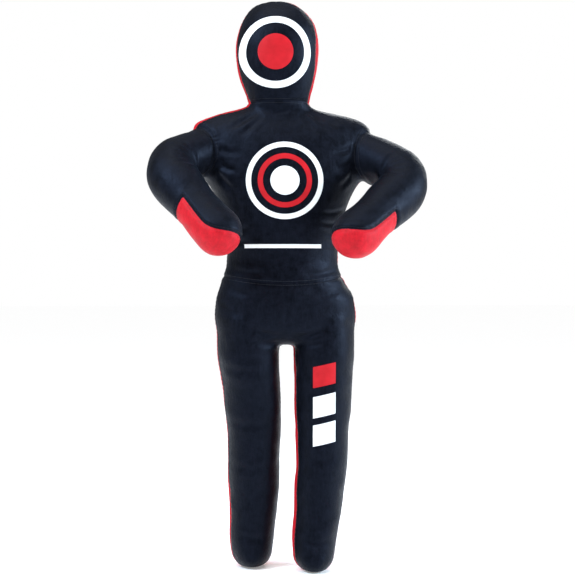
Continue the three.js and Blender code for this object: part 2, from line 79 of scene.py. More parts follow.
# Each lamp's place, size, power and colour.
LAMPS = {
    "key": ((-2.9, -2.0, 3.5), (1.2, 1.4), 190.0, (0.72, 0.86, 1.0)),
    "fill": ((3.8, -0.9, 2.0), (1.2, 1.4), 230.0, (0.68, 0.84, 1.0)),
    "rim": ((1.6, 3.6, 2.8), (2.4, 2.0), 80.0, (0.95, 0.98, 1.0)),
}
CEILING_STRENGTH, CEILING_SPREAD, CEILING_TILT = 2.1, 60, (18, -8)
FLOOR_SIZE, FLOOR_TONE, FLOOR_GLOW = 60.0, (0.9, 0.9, 0.9), 0.24
SURROUND_AS_LIGHT = 0.22
WHITE = (1.0, 1.0, 1.0, 1.0)


def linked(name, data):
    """A new object in the scene."""
    made = bpy.data.objects.new(name, data)
    bpy.context.scene.collection.objects.link(made)
    return made


def looking(name, data, place, way):
    """A camera or a lamp in the scene, at a place and looking one way."""
    made = linked(name, data)
    made.location = place
    made.rotation_mode = "QUATERNION"
    made.rotation_quaternion = Vector(way).to_track_quat("-Z", "Y")
    return made


def make_camera():
    """A level camera at waist height, a little to the figure's right."""
    data = bpy.data.cameras.new("camera")
    data.lens = CAMERA_LENS
    data.sensor_width = 36.0
    data.shift_x, data.shift_y = CAMERA_SHIFT
    bpy.context.scene.camera = looking("camera", data, CAMERA_PLACE, CAMERA_AIM)


def make_stage():
    """A pale, faintly glowing floor, a white surround that lights little, the lamps and a soft ceiling."""
    bpy.context.scene.view_settings.view_transform = "Standard"
    world = bpy.data.worlds.new("surround")
    world.use_nodes = True
    background = world.node_tree.nodes["Background"]
    background.inputs["Color"].default_value = WHITE
    nodes = Nodes(world.node_tree)
    seen = nodes.add("ShaderNodeLightPath").outputs["Is Camera Ray"]
    nodes.put(nodes.spread(seen, SURROUND_AS_LIGHT, 1.0, 0.0, 1.0), background.inputs["Strength"])
    bpy.context.scene.world = world

    bpy.ops.mesh.primitive_plane_add(size=FLOOR_SIZE)
    floor = bpy.context.object
    floor.name = "floor"
    paper = {"Specular IOR Level": 0.1, "Emission Color": WHITE, "Emission Strength": FLOOR_GLOW}
    floor.data.materials.append(Finish("floor_paper", FLOOR_TONE, 0.9).over(paper))

    for name, (place, size, power, colour) in LAMPS.items():
        data = bpy.data.lights.new(name, "AREA")
        data.shape = "RECTANGLE"
        data.size, data.size_y = size
        data.energy = power
        data.color = colour
        looking(name, data, place, Vector(LIGHT_AIM) - Vector(place))
    data = bpy.data.lights.new("ceiling", "SUN")
    data.energy = CEILING_STRENGTH
    data.angle = math.radians(CEILING_SPREAD)
    linked("ceiling", data).rotation_euler = (*map(math.radians, CEILING_TILT), 0)


# ---------------------------------------------------------------- materials

class Nodes:
    """Short ways to add and join shader nodes."""

    def __init__(self, tree):
        self.tree = tree

    def put(self, value, socket):
        """Joins another node's output to a socket, or sets a plain value on it."""
        if isinstance(value, bpy.types.NodeSocket):
            self.tree.links.new(value, socket)
        else:
            socket.default_value = value

    def add(self, kind, values=None, **settings):
        """A node with these settings, and these values or outputs on its sockets."""
        node = self.tree.nodes.new(kind)
        for key, value in settings.items():
            setattr(node, key, value)
        for key, value in (values or {}).items():
            self.put(value, node.inputs[key])
        return node

    def place(self):
        return self.add("ShaderNodeTexCoord").outputs["Object"]

    def mapped(self, vector, **values):
        """A place stretched by a Scale or turned by a Rotation."""
        return self.add("ShaderNodeMapping", {"Vector": vector, **values}).outputs["Vector"]

    def noise(self, vector, scale, detail=2.0, roughness=0.5):
        values = {"Vector": vector, "Scale": scale, "Detail": detail, "Roughness": roughness}
        return self.add("ShaderNodeTexNoise", values).outputs["Fac"]

    def spread(self, value, low, high, start=0.3, end=0.7):
        """The value's range from start to end stretched to run from low to high."""
        values = {"Value": value, "From Min": start, "From Max": end, "To Min": low, "To Max": high}
        return self.add("ShaderNodeMapRange", values).outputs["Result"]

    def maths(self, operation, first, second):
        node = self.add("ShaderNodeMath", operation=operation)
        for socket, value in zip(node.inputs, (first, second)):
            self.put(value, socket)
        return node.outputs[0]

    def mean(self, first, second):
        return self.maths("MULTIPLY", self.maths("ADD", first, second), 0.5)

    def mix(self, factor, dark, light):
        values = {"Factor": factor, "A": (*dark, 1.0), "B": (*light, 1.0)}
        return self.add("ShaderNodeMix", values, data_type="RGBA").outputs["Result"]

    def shades(self, value, dark, light, start=0.3, end=0.7):
        """From dark to light as the value goes from start to end."""
        return self.mix(self.spread(value, 0.0, 1.0, start, end), dark, light)

    def bump(self, height, strength, distance, below=None):
        values = {"Height": height, "Strength": strength, "Distance": distance}
        if below is not None:
            values["Normal"] = below
        return self.add("ShaderNodeBump", values).outputs["Normal"]


class Finish(Nodes):
    """A new material with plain values, for its maker to work over."""

    def __init__(self, name, colour, roughness, metallic=0.0):
        self.made = bpy.data.materials.new(name)
        self.made.use_nodes = True
        super().__init__(self.made.node_tree)
        self.over({"Base Color": (*colour, 1.0), "Roughness": roughness, "Metallic": metallic})

    def over(self, values):
        """Puts these values or outputs on the shader's sockets. Returns the material."""
        shader = self.tree.nodes["Principled BSDF"]
        for key, value in values.items():
            self.put(value, shader.inputs[key])
        return self.made


def suede(name, dark, light, sheen, tint, tone, gloss):
    """Brushed microfibre: a short nap, patches where it has been stroked either way, and a soft sheen."""
    nodes = Finish(name, dark, 0.82)
    place = nodes.place()
    patches = nodes.noise(place, 45.0, 5.0, 0.65)
    nap = nodes.noise(place, 240.0, 4.0, 0.65)
    grain = nodes.noise(place, 950.0, 2.0, 0.7)
    strokes = nodes.noise(nodes.mapped(place, Scale=(1.0, 1.0, 0.22)), 150.0, 3.0, 0.6)
    fuzz = nodes.mean(nap, strokes)
    mottle = nodes.mean(patches, fuzz)
    lumpy = nodes.bump(patches, 0.3, 0.005)
    soft = nodes.bump(fuzz, 0.5, 0.0022, lumpy)
    return nodes.over({
        "Base Color": nodes.shades(mottle, dark, light, 0.38, 0.62),
        "Roughness": nodes.spread(mottle, *tone),
        "Normal": nodes.bump(grain, 0.35, 0.0006, soft),
        "Specular IOR Level": 0.2,
        "Specular Tint": (*gloss, 1.0),
        "Sheen Weight": sheen,
        "Sheen Roughness": 0.45,
        "Sheen Tint": (*tint, 1.0),
    })


def print_layer(name, dark, light):
    """A flat ink layer in slightly uneven shades, with the nap of the cloth showing through it."""
    nodes = Finish(name, light, 0.55)
    place = nodes.place()
    cloth = nodes.noise(place, 700.0, 3.0, 0.7)
    return nodes.over({
        "Base Color": nodes.shades(nodes.noise(place, 30.0, 3.0), dark, light),
        "Roughness": nodes.spread(cloth, 0.48, 0.66),
        "Normal": nodes.bump(cloth, 0.15, 0.0005),
        "Specular IOR Level": 0.25,
    })


def thread_finish(name, dark, light):
    """Twisted polyester thread."""
    nodes = Finish(name, light, 0.45)
    twist = nodes.noise(nodes.place(), 1500.0, 2.0, 0.6)
    return nodes.over({
        "Base Color": nodes.shades(twist, dark, light),
        "Normal": nodes.bump(twist, 0.3, 0.0003),
        "Specular IOR Level": 0.3,
    })


def nylon():
    """The zip's coils: smooth dark nylon with a fine grain."""
    nodes = Finish("zip_nylon", (0.02, 0.021, 0.024), 0.35)
    fine = nodes.noise(nodes.place(), 1800.0, 3.0, 0.6)
    return nodes.over({
        "Base Color": nodes.shades(fine, (0.014, 0.015, 0.018), (0.03, 0.031, 0.036)),
        "Roughness": nodes.spread(fine, 0.28, 0.42),
        "Normal": nodes.bump(fine, 0.1, 0.0002),
    })


def woven():
    """The zip's tapes: slanted ribs that cross."""
    nodes = Finish("zip_weave", (0.012, 0.013, 0.016), 0.8)
    place = nodes.place()
    ribs = []
    for turn in (0.9, -0.9):
        across = nodes.mapped(place, Rotation=(0.0, turn, 0.0))
        wave = nodes.add("ShaderNodeTexWave", {"Scale": 160.0, "Vector": across})
        ribs.append(wave.outputs["Fac"])
    weave = nodes.maths("MULTIPLY", *ribs)
    return nodes.over({
        "Base Color": nodes.mix(weave, (0.008, 0.009, 0.011), (0.026, 0.028, 0.034)),
        "Normal": nodes.bump(weave, 0.5, 0.0004),
    })


def nickel():
    """The zip's slider, pull and stop: brushed along their length and worn in patches."""
    nodes = Finish("zip_nickel", (0.42, 0.42, 0.43), 0.3, 1.0)
    place = nodes.place()
    brushed = nodes.noise(nodes.mapped(place, Scale=(1.0, 1.0, 0.06)), 2600.0, 3.0, 0.6)
    worn = nodes.noise(place, 220.0, 3.0)
    return nodes.over({
        "Base Color": nodes.shades(worn, (0.34, 0.34, 0.35), (0.52, 0.52, 0.53)),
        "Roughness": nodes.spread(brushed, 0.2, 0.42),
        "Normal": nodes.bump(brushed, 0.12, 0.0002),
    })


# ---------------------------------------------------------------- surfaces as arrays

# A cut keeps this share of an edge away from the edge's ends.
CUT_MARGIN = 0.04


class Skin:
    """Triangles with a set of values at each point. Columns: place 0-2, normal 3-5."""

    def __init__(self, points, faces):
        self.points = points
        self.faces = faces
        self.places = points[:, :3]
        self.normals = points[:, 3:6]

    def used(self, faces):
        """The part of this skin that these triangles make, with only the points they need."""
        keep, index = np.unique(faces, return_inverse=True)
        return Skin(self.points[keep], index.reshape(-1, 3))


def sides_of(faces):
    return np.concatenate([faces[:, [0, 1]], faces[:, [1, 2]], faces[:, [2, 0]]])


def loop_ends(faces):
    """The directed edges that only one triangle has, which are the skin's border."""
    edges = sides_of(faces)
    _, first, count = np.unique(np.sort(edges, 1), axis=0, return_index=True, return_counts=True)
    return edges[first[count == 1]]


def crossing(skin, values, margin=0.0):
    """What a value's zero line crosses on a skin, or nothing. Returns the triangles, each turned so that the
    point alone on its side comes first, whether that point is above, the fresh points where the line passes
    between two others, and the two of them on each triangle's edges."""
    above = values > 0
    count = above[skin.faces].sum(1)
    mixed = skin.faces[(count == 1) | (count == 2)]
    if not len(mixed):
        return None
    lone_above = above[mixed].sum(1) == 1
    lone = (above[mixed] == lone_above[:, None]).argmax(1)
    turned = np.take_along_axis(mixed, (lone[:, None] + np.arange(3)) % 3, 1)
    pairs = np.sort(np.concatenate([turned[:, [0, 1]], turned[:, [0, 2]]]), 1)
    pairs, index = np.unique(pairs, axis=0, return_inverse=True)
    share = values[pairs[:, 0]] / (values[pairs[:, 0]] - values[pairs[:, 1]])
    share = np.clip(share, margin, 1 - margin)[:, None]
    fresh = skin.points[pairs[:, 0]] * (1 - share) + skin.points[pairs[:, 1]] * share
    return turned, lone_above, fresh, index.reshape(2, -1)


def cut(skin, values):
    """Cuts a skin where a value at its points passes zero. Returns the parts below and above it."""
    count = (values > 0)[skin.faces].sum(1)
    low, high = skin.faces[count == 0], skin.faces[count == 3]
    crossed = crossing(skin, values, CUT_MARGIN)
    if crossed is None:
        return skin.used(low), skin.used(high)
    turned, lone_above, fresh, index = crossed
    p, q = len(skin.points) + index
    a, b, c = turned.T
    tips, rests = corners([a, p, q]), corners([p, b, c], [p, c, q])
    both = np.concatenate([lone_above, lone_above])
    below = np.concatenate([low, tips[~lone_above], rests[both]])
    over = np.concatenate([high, tips[lone_above], rests[~both]])
    whole = Skin(np.concatenate([skin.points, fresh]), skin.faces)
    return whole.used(below), whole.used(over)


def normals_of(places, faces):
    a, b, c = (places[faces[:, i]] for i in range(3))
    across = np.cross(b - a, c - a)
    total = np.zeros_like(places)
    for i in range(3):
        np.add.at(total, faces[:, i], across)
    return total / np.maximum(lengths(total), 1e-12)[:, None]


def largest_part(places, faces):
    """Only the triangles of the largest connected part, without bubbles inside it."""
    label = np.arange(len(places))
    edges = np.unique(np.sort(sides_of(faces), 1), axis=0)
    while True:
        low = np.minimum(label[edges[:, 0]], label[edges[:, 1]])
        before = label.copy()
        np.minimum.at(label, edges[:, 0], low)
        np.minimum.at(label, edges[:, 1], low)
        label = label[label]
        if (label == before).all():
            break
    best = np.bincount(label).argmax()
    part = Skin(places, faces).used(faces[label[faces[:, 0]] == best])
    return part.points, part.faces


def corners(*sets):
    """Triangles from sets of three columns, each a corner."""
    return np.concatenate([np.stack(columns, 1) for columns in sets])


def lengths(vectors):
    return np.linalg.norm(vectors, axis=1)


def bell(value, reach):
    """1 where the value is zero, and falling away on both sides over about this reach."""
    return np.exp(-(value / reach) ** 2)


def ease(value, start, end):
    """From 0 at start to 1 at end, with soft ends."""
    t = np.clip((value - start) / (end - start), 0.0, 1.0)
    return t * t * (3 - 2 * t)


def mesh_object(name, places, faces, normals=None):
    mesh = bpy.data.meshes.new(name)
    mesh.from_pydata(places.tolist(), [], faces.tolist())
    mesh.update()
    mesh.shade_smooth()
    if normals is not None:
        mesh.normals_split_custom_set_from_vertices(normals.tolist())
    return linked(name, mesh)


def after_modifiers(made):
    return made.evaluated_get(bpy.context.evaluated_depsgraph_get())


def places_of(mesh):
    places = np.empty(len(mesh.vertices) * 3)
    mesh.vertices.foreach_get("co", places)
    return places.reshape(-1, 3)


def arrays_of(made):
    """A mesh object's triangles after its modifiers."""
    mesh = bpy.data.meshes.new_from_object(after_modifiers(made))
    mesh.calc_loop_triangles()
    places = places_of(mesh)
    faces = np.empty(len(mesh.loop_triangles) * 3, int)
    mesh.loop_triangles.foreach_get("vertices", faces)
    bpy.data.meshes.remove(mesh)
    return places, faces.reshape(-1, 3)


# ---------------------------------------------------------------- the figure's lofts, in millimetres

# Height, centre, half width, front depth and back depth of the trunk, from the crotch to the crown.
TRUNK = np.array([
    [711, 8, 168, 58, 68], [738, 8, 212, 98, 114], [790, 8, 225, 116, 136], [850, 7, 220, 118, 134],
    [905, 1, 198, 113, 122], [965, -2, 181, 110, 116], [1030, -2, 180, 116, 116],
    [1110, 0, 193, 122, 116], [1190, 0, 222, 124, 116], [1255, 0, 262, 120, 116],
    [1335, -2, 277, 110, 108], [1388, -4, 286, 92, 90], [1418, -8, 252, 76, 74],
    [1436, -12, 190, 72, 72], [1448, -13, 128, 74, 74], [1466, -13, 97, 82, 80],
    [1525, -15, 112, 101, 98], [1590, -18, 127, 117, 114], [1650, -19, 131, 122, 120],
    [1705, -18, 122, 115, 113], [1748, -18, 101, 96, 94], [1779, -20, 67, 62, 62],
    [1797, -22, 20, 18, 18],
], float)
TRUNK_POWER = 2.3

# Height, half width, front depth and back depth of both legs, then the centres of the right and left.
LEGS = np.array([
    [0, 24, 46, 30, -98, 93], [9, 44, 74, 50, -98, 93], [36, 61, 88, 64, -98, 93],
    [95, 69, 80, 72, -97, 96], [190, 74, 78, 82, -92, 108], [300, 79, 82, 90, -91, 118],
    [420, 82, 86, 90, -91, 122], [540, 89, 94, 96, -96, 125], [690, 96, 104, 110, -111, 130],
    [800, 100, 104, 124, -112, 126],
], float)
LEG_POWER = 2.1
FOOT_Y = {"right": 38.0, "left": -38.0}
LEG_ROOT_Z = 760.0

# An arm runs from the armhole to a rounded corner at the elbow and on to the hand.
ARM_BEND_RADIUS = 85.0
ARMS = {
    "right": ([-222, 6, 1330], [-384, -105, 1266], [-212, -266, 1056]),
    "left": ([222, 6, 1334], [402, -106, 1226], [198, -266, 1048]),
}
ARM_RADII = {"root": 70.0, "elbow": 77.0, "wrist": 67.0, "hand": 72.0}

RING = 72
ROW_STEP = 8.0
UPPER_ROWS, BEND_ROWS, FORE_ROWS = 12, 18, 20
FINGERTIP_TURNS = (0, 12, 24, 36, 48, 58, 67, 75, 82, 87)


def curve(table, heights):
    """Each column of a table at these heights, along a smooth curve with no overshoot."""
    z, columns = table[:, 0], table[:, 1:]
    step = np.diff(z)[:, None]
    slope = np.diff(columns, axis=0) / step
    before, after = slope[:-1], slope[1:]
    product = before * after
    inner = np.where(product > 0, 2 * product / np.where(product > 0, before + after, 1.0), 0.0)
    tangent = np.concatenate([slope[:1], inner, slope[-1:]])
    i = np.clip(np.searchsorted(z, heights, side="right") - 1, 0, len(z) - 2)
    width = step[i]
    t = ((heights - z[i])[:, None]) / width
    first = columns[i] * (1 + 2 * t) * (1 - t) ** 2 + tangent[i] * width * t * (1 - t) ** 2
    second = columns[i + 1] * t * t * (3 - 2 * t) - tangent[i + 1] * width * t * t * (1 - t)
    return first + second


def oval(x, y, z, half_width, front, back, power):
    """A level ring with its own depth in front and behind."""
    angle = np.arange(RING) / RING * 2 * math.pi
    c, s = np.cos(angle), np.sin(angle)
    depth = np.where(s < 0, front, back)
    px = np.sign(c) * np.abs(c) ** (2 / power) * half_width
    py = np.sign(s) * np.abs(s) ** (2 / power) * depth
    return np.stack([x + px, y + py, np.full(RING, z)], 1)


def tube(rings):
    """A closed tube through rings that all have the same number of points, as places and triangles."""
    rings = np.array(rings)
    count, sides = rings.shape[:2]
    here = np.arange(sides)
    there = (here + 1) % sides
    faces = []
    for r in range(count - 1):
        a, b = r * sides + here, r * sides + there
        faces.append(corners([a, b, b + sides], [a, b + sides, a + sides]))
    low, top = count * sides, (count - 1) * sides
    ends = corners([here * 0 + low, there, here], [here * 0 + low + 1, top + here, top + there])
    places = [rings.reshape(-1, 3), rings[0].mean(0)[None], rings[-1].mean(0)[None]]
    return np.concatenate(places), np.concatenate([*faces, ends])


def joined(parts):
    """Several sets of places and triangles as one."""
    starts = np.cumsum([0] + [len(places) for places, _ in parts])
    faces = [triangles + start for (_, triangles), start in zip(parts, starts)]
    return np.concatenate([places for places, _ in parts]), np.concatenate(faces)


def loft(rings):
    """A tube through rings given in the lofts' own millimetres."""
    places, faces = tube(rings)
    return metres(places), faces


def trunk_loft():
    heights = np.arange(TRUNK[0, 0], TRUNK[-1, 0], ROW_STEP)
    rows = curve(TRUNK, heights)
    return loft([oval(x, 0, z, w, f, b, TRUNK_POWER) for z, (x, w, f, b) in zip(heights, rows)])


def leg_y(side, z):
    return FOOT_Y[side] * (1 - np.minimum(z, LEG_ROOT_Z) / LEG_ROOT_Z)


def leg_loft(side):
    heights = np.concatenate([[0.0, 3.0], np.arange(8.0, LEGS[-1, 0], ROW_STEP)])
    rows = curve(LEGS, heights)
    column = 3 if side == "right" else 4
    rings = [
        oval(row[column], leg_y(side, z), z, *row[:3], LEG_POWER) for z, row in zip(heights, rows)
    ]
    return loft(rings)


class Arm:
    """The line of one bent arm, with the directions that its seams and joints need."""

    def __init__(self, side):
        self.root, corner, self.hand = (np.array(p, float) for p in ARMS[side])
        self.upper = unit(corner - self.root)
        self.fore = unit(self.hand - corner)
        self.normal = unit(np.cross(self.upper, self.fore))
        self.turn = math.acos(self.upper @ self.fore)
        reach = ARM_BEND_RADIUS * math.tan(self.turn / 2)
        self.bend_start = corner - self.upper * reach
        self.bend_end = corner + self.fore * reach
        self.centre = self.bend_start + np.cross(self.normal, self.upper) * ARM_BEND_RADIUS
        self.middle_way = unit(self.upper + self.fore)
        self.middle = self.round_bend(self.turn / 2)

    def round_bend(self, angle):
        """A place on the bend, this far round it."""
        spoke = self.bend_start - self.centre
        return self.centre + spoke * math.cos(angle) + np.cross(self.normal, spoke) * math.sin(angle)

    def way(self, angle):
        """The arm's own direction there."""
        across = np.cross(self.normal, self.upper)
        return self.upper * math.cos(angle) + across * math.sin(angle)

    def rings(self):
        """Round rings along the upper arm, round the bend, down the forearm and over the fingertips."""
        radii = ARM_RADII
        stations = []
        for t in np.linspace(0, 1, UPPER_ROWS, endpoint=False):
            radius = radii["root"] + (radii["elbow"] - radii["root"]) * ease(t, 0.0, 1.0)
            stations.append((self.root + (self.bend_start - self.root) * t, self.upper, radius))
        for angle in np.linspace(0, self.turn, BEND_ROWS):
            stations.append((self.round_bend(angle), self.way(angle), radii["elbow"]))
        for t in np.linspace(0, 1, FORE_ROWS)[1:-1]:
            waist = radii["elbow"] + (radii["wrist"] - radii["elbow"]) * ease(t, 0.0, 0.6)
            radius = waist + (radii["hand"] - radii["wrist"]) * ease(t, 0.55, 1.0)
            stations.append((self.bend_end + (self.hand - self.bend_end) * t, self.fore, radius))
        for angle in np.radians(FINGERTIP_TURNS):
            place = self.hand + self.fore * math.sin(angle) * radii["hand"]
            stations.append((place, self.fore, math.cos(angle) * radii["hand"]))
        spin = np.arange(RING) / RING * 2 * math.pi
        made = []
        for place, way, radius in stations:
            across = np.cross(way, self.normal)
            ring = np.outer(np.cos(spin), self.normal) + np.outer(np.sin(spin), across)
            made.append(place + ring * radius)
        return made


def unit(vector):
    return vector / np.linalg.norm(vector)


def metres(place):
    return np.asarray(place) * 0.001 + ORIGIN


arms = {side: Arm(side) for side in SIDES}


# ---------------------------------------------------------------- where the seams run

BODY_SEAM = np.array([[600, -22], [850, -16], [1000, -8], [1250, -10], [1405, -24], [1480, -30]])
HEAD_SEAM = np.array([[1400, -28], [1480, -30], [1645, -42], [1770, -26], [1900, -10]])
HEAD_SEAM_X, HEAD_SEAM_TURN = -20.0, math.radians(-7.0)
LEG_SEAM_X = {"right": -98.0, "left": 118.0}
LEG_SEAM_Y, LEG_SEAM_TURN = -8.0, math.radians(10.0)

NECK_Z = 1.472
WAIST_Z, WAIST_RISE, WAIST_HALF, WAIST_RISE_MOST = 0.903, 0.016, 0.165, 1.4
HIP_Z = 0.713
THIGH_Z = 0.577
BACK_X = ORIGIN[0]
ARM_FLOOR_Z = 1.15

# Where each cover would bend: the heights or the distances along a joint's own line. Nothing bends the
# covers by them.
NECK_BEND = (1.478, 1.535)
WAIST_BEND = (0.922, 0.985)
HIP_BEND = (HIP_Z, 0.625)
KNEE_BEND = (0.44, 0.30)
SHOULDER_BEND = (-0.028, 0.028)
ELBOW_BEND = (-0.030, 0.034)

# An arm leaves the shoulder this way, and its armhole is cut across the front and back at these slopes. The
# scale makes the armhole's field measure about the true distance from its seam.
SHOULDER_Y = 0.0768
SHOULDER_WAY = {side: np.array([SIGN[side] * 0.88, -0.475, 0.0]) for side in SIDES}
ARMHOLE_OUT = {"right": 0.014, "left": 0.018}
ARMHOLE_FRONT, ARMHOLE_BACK, ARMHOLE_SCALE = 1.05, 0.27, 0.75

# The palm panel's long seam lies this far under the forearm's own line where the panel starts, and drifts
# by this much for each metre towards the hand. It turns up over the fingertips, and is all the way up at
# the last of the three values, a distance from the elbow.
PALM_SEAM = {"right": (0.013, 0.05, 0.297), "left": (0.026, -0.06, 0.282)}
PALM_TURN, PALM_RISE, PALM_POWER = 0.16, 0.076, 4
PALM_START, PALM_SLOPE = 0.101, 0.15

# The side seam is set back on the outside of the right leg and flank, and over the left shoulder. These are
# the stretches over which it eases in and out, and those where the legs' seam passes into the trunk's and
# that into the head's, all in the lofts' millimetres.
FLANK_SET_BACK, FLANK_X, FLANK_LOW, FLANK_HIGH = 20.0, (96.0, 120.0), (170, 330), (1180, 1280)
SHOULDER_SET_BACK, SHOULDER_X, SHOULDER_Z = 30.0, (40, 150), (1300, 1370)
LEGS_PART_X, TRUNK_START, HEAD_START = 7, (690, 810), (1440, 1500)

# How far a forearm and an elbow reach round their own line and middle.
FOREARM_REACH, ELBOW_REACH = 0.095, 0.13


def shoulder(side):
    """The middle of the shoulder, on its hinge."""
    x, _, z = joints[side + "_shoulder_raise"]["pos_m"]
    return np.array([x, SHOULDER_Y, z])


def side_seam(places):
    """How far behind the side seam each point of the trunk and legs is. In front of it is negative."""
    x, y, z = ((places - ORIGIN) * 1000).T
    body = np.interp(z, *BODY_SEAM.T)
    head = np.interp(z, *HEAD_SEAM.T) + (x - HEAD_SEAM_X) * math.tan(HEAD_SEAM_TURN)
    leg = np.zeros_like(x)
    for side in SIDES:
        own = (x >= LEGS_PART_X) == (side == "left")
        tilted = LEG_SEAM_Y + leg_y(side, z) + (x - LEG_SEAM_X[side]) * math.tan(LEG_SEAM_TURN)
        leg = np.where(own, tilted, leg)
    outside = ease(-x, *FLANK_X)
    leg = leg + FLANK_SET_BACK * outside * ease(z, *FLANK_LOW)
    body = body + FLANK_SET_BACK * outside * (1 - ease(z, *FLANK_HIGH))
    body = body + SHOULDER_SET_BACK * ease(x, *SHOULDER_X) * ease(z, *SHOULDER_Z)
    seam = body + (head - body) * ease(z, *HEAD_START)
    seam = leg + (seam - leg) * ease(z, *TRUNK_START)
    return (y - seam) * 0.001


def waist_seam(places):
    """Height above the waist seam, which sags a little towards its middle."""
    across = (places[:, 0] - BACK_X) / WAIST_HALF
    return places[:, 2] - WAIST_Z - WAIST_RISE * np.minimum(across * across, WAIST_RISE_MOST)


def on_forearm(side, places):
    """Whether each place is on the forearm or the hand."""
    arm = arms[side]
    start, end = metres(arm.bend_end), metres(arm.hand + arm.fore * ARM_RADII["hand"])
    along = np.clip((places - start) @ (end - start) / ((end - start) @ (end - start)), 0, 1)
    return lengths(places - start - along[:, None] * (end - start)) < FOREARM_REACH


def arm_field(side, places):
    """Positive on all that the shoulder can move, down to the hand."""
    beyond = (places - shoulder(side)) @ SHOULDER_WAY[side] - SHOULDER_BEND[0]
    beyond = np.where(places[:, 2] > ARM_FLOOR_Z, beyond, -1.0)
    return np.where(on_forearm(side, places), 1.0, beyond)


def armhole(side, places):
    """Positive on the sleeve, past the armhole's seam."""
    out, back, _ = (places - shoulder(side)).T * np.array([[SIGN[side]], [1], [1]])
    out = out - ARMHOLE_OUT[side]
    sloped = out - ARMHOLE_FRONT * np.minimum(back, 0) - ARMHOLE_BACK * np.maximum(back, 0)
    return sloped * ARMHOLE_SCALE


def elbow_field(side, places):
    """Positive past the start of the elbow's bend."""
    arm = arms[side]
    offset = places - metres(arm.middle)
    near = (lengths(offset) < ELBOW_REACH) | on_forearm(side, places)
    return np.where(near, offset @ arm.middle_way - ELBOW_BEND[0], -1.0)


def palm_field(side, places):
    """Positive on the palm panel, which is past its start and under its long seam."""
    arm = arms[side]
    down = unit(np.cross(arm.fore, [0, 1, 0]))
    down = down * (1 if down[2] < 0 else -1)
    offset = places - metres(arm.bend_end)
    along, under = offset @ arm.fore, offset @ down
    root, drift, tip = PALM_SEAM[side]
    turned = np.clip((along - PALM_TURN) / (tip - PALM_TURN), 0.0, 1.3)
    seam = root + drift * (along - PALM_START) - PALM_RISE * turned ** PALM_POWER
    slope = drift - PALM_RISE * PALM_POWER * turned ** (PALM_POWER - 1) / (tip - PALM_TURN)
    below = (under - seam) / np.sqrt(1 + slope * slope)
    return np.minimum(along - PALM_START - PALM_SLOPE * (under - root), below)


# ---------------------------------------------------------------- the whole skin

VOXEL = 0.009
RELAX_SHARE, RELAX_ROUNDS = 0.5, 4
# How long the cloth runs, how softly it is held in place and how far it may move in the end.
CLOTH_FRAMES, CLOTH_HOLD, CLOTH_CAP = 20, 0.10, 0.009
CLOTH = {
    "quality": 5, "mass": 0.3, "tension_stiffness": 15.0, "compression_stiffness": 15.0,
    "shear_stiffness": 5.0, "bending_stiffness": 0.4, "use_pressure": True, "uniform_pressure_force": 4.0,
    "pin_stiffness": 1.0, "shrink_min": 0.0, "shrink_max": -0.16,
}

# How loose the cloth is, and over what reach: round the waist and the neck, in the bend of an elbow and
# under an arm, and at the crotch.
LOOSE_WAIST, LOOSE_NECK, LOOSE_ARM = (0.7, 0.05), (0.6, 0.035), (1.0, 0.075)
LOOSE_CROTCH, CROTCH, UNDERARM_DROP = (0.9, 0.10), (0.0, 0.1, 0.73), (0.05, 0.06)


def whole_figure():
    """Trunk, legs and arms as one closed skin of even quads, puffed up and then made finer."""
    bodies = [trunk_loft(), *(leg_loft(s) for s in SIDES), *(loft(arms[s].rings()) for s in SIDES)]
    rough = mesh_object("figure", *joined(bodies))
    remesh = rough.modifiers.new("even", "REMESH")
    remesh.mode = "VOXEL"
    remesh.voxel_size = VOXEL
    relax = rough.modifiers.new("relax", "SMOOTH")
    relax.factor = RELAX_SHARE
    relax.iterations = RELAX_ROUNDS
    even = linked("even", bpy.data.meshes.new_from_object(after_modifiers(rough)))
    bpy.data.objects.remove(rough)
    puff(even)
    finer = even.modifiers.new("finer", "SUBSURF")
    finer.levels = finer.render_levels = 1
    places, faces = largest_part(*arrays_of(even))
    bpy.data.objects.remove(even)
    return places, faces


def looseness(places):
    """Where the cloth has more length than it needs, from 0 to 1: in the bends and round the seams."""
    z = places[:, 2]
    loose = LOOSE_WAIST[0] * bell(z - WAIST_Z, LOOSE_WAIST[1])
    loose += LOOSE_NECK[0] * bell(z - NECK_Z, LOOSE_NECK[1])
    inward, drop = UNDERARM_DROP
    spots = [(CROTCH, *LOOSE_CROTCH)]
    for side in SIDES:
        spots.append((metres(arms[side].centre), *LOOSE_ARM))
        spots.append((shoulder(side) - SHOULDER_WAY[side] * inward - [0, 0, drop], *LOOSE_ARM))
    for centre, amount, reach in spots:
        gap = lengths(places - np.array(centre))
        loose = np.maximum(loose, amount * bell(gap, reach))
    return np.clip(loose, 0, 1)


def puff(made):
    """Cloth under pressure, held softly in place, with spare cloth where it is loose."""
    before = places_of(made.data)
    held = made.vertex_groups.new(name="held")
    held.add(list(range(len(before))), CLOTH_HOLD, "REPLACE")
    loose = made.vertex_groups.new(name="loose")
    for i, weight in enumerate(looseness(before)):
        loose.add([i], float(weight), "REPLACE")
    cloth = made.modifiers.new("cloth", "CLOTH")
    settings = cloth.settings
    for key, value in CLOTH.items():
        setattr(settings, key, value)
    settings.effector_weights.gravity = 0.0
    settings.vertex_group_mass = held.name
    settings.vertex_group_shrink = loose.name
    cloth.collision_settings.use_collision = False
    cloth.point_cache.frame_start = 1
    cloth.point_cache.frame_end = CLOTH_FRAMES
    for step in range(1, CLOTH_FRAMES + 1):
        bpy.context.scene.frame_set(step)
    moved = places_of(after_modifiers(made).data) - before
    moved *= np.minimum(1.0, CLOTH_CAP / np.maximum(lengths(moved), 1e-9))[:, None]
    made.modifiers.remove(cloth)
    made.vertex_groups.clear()
    made.data.vertices.foreach_set("co", (before + moved).ravel())
    made.data.update()
    bpy.context.scene.frame_set(1)


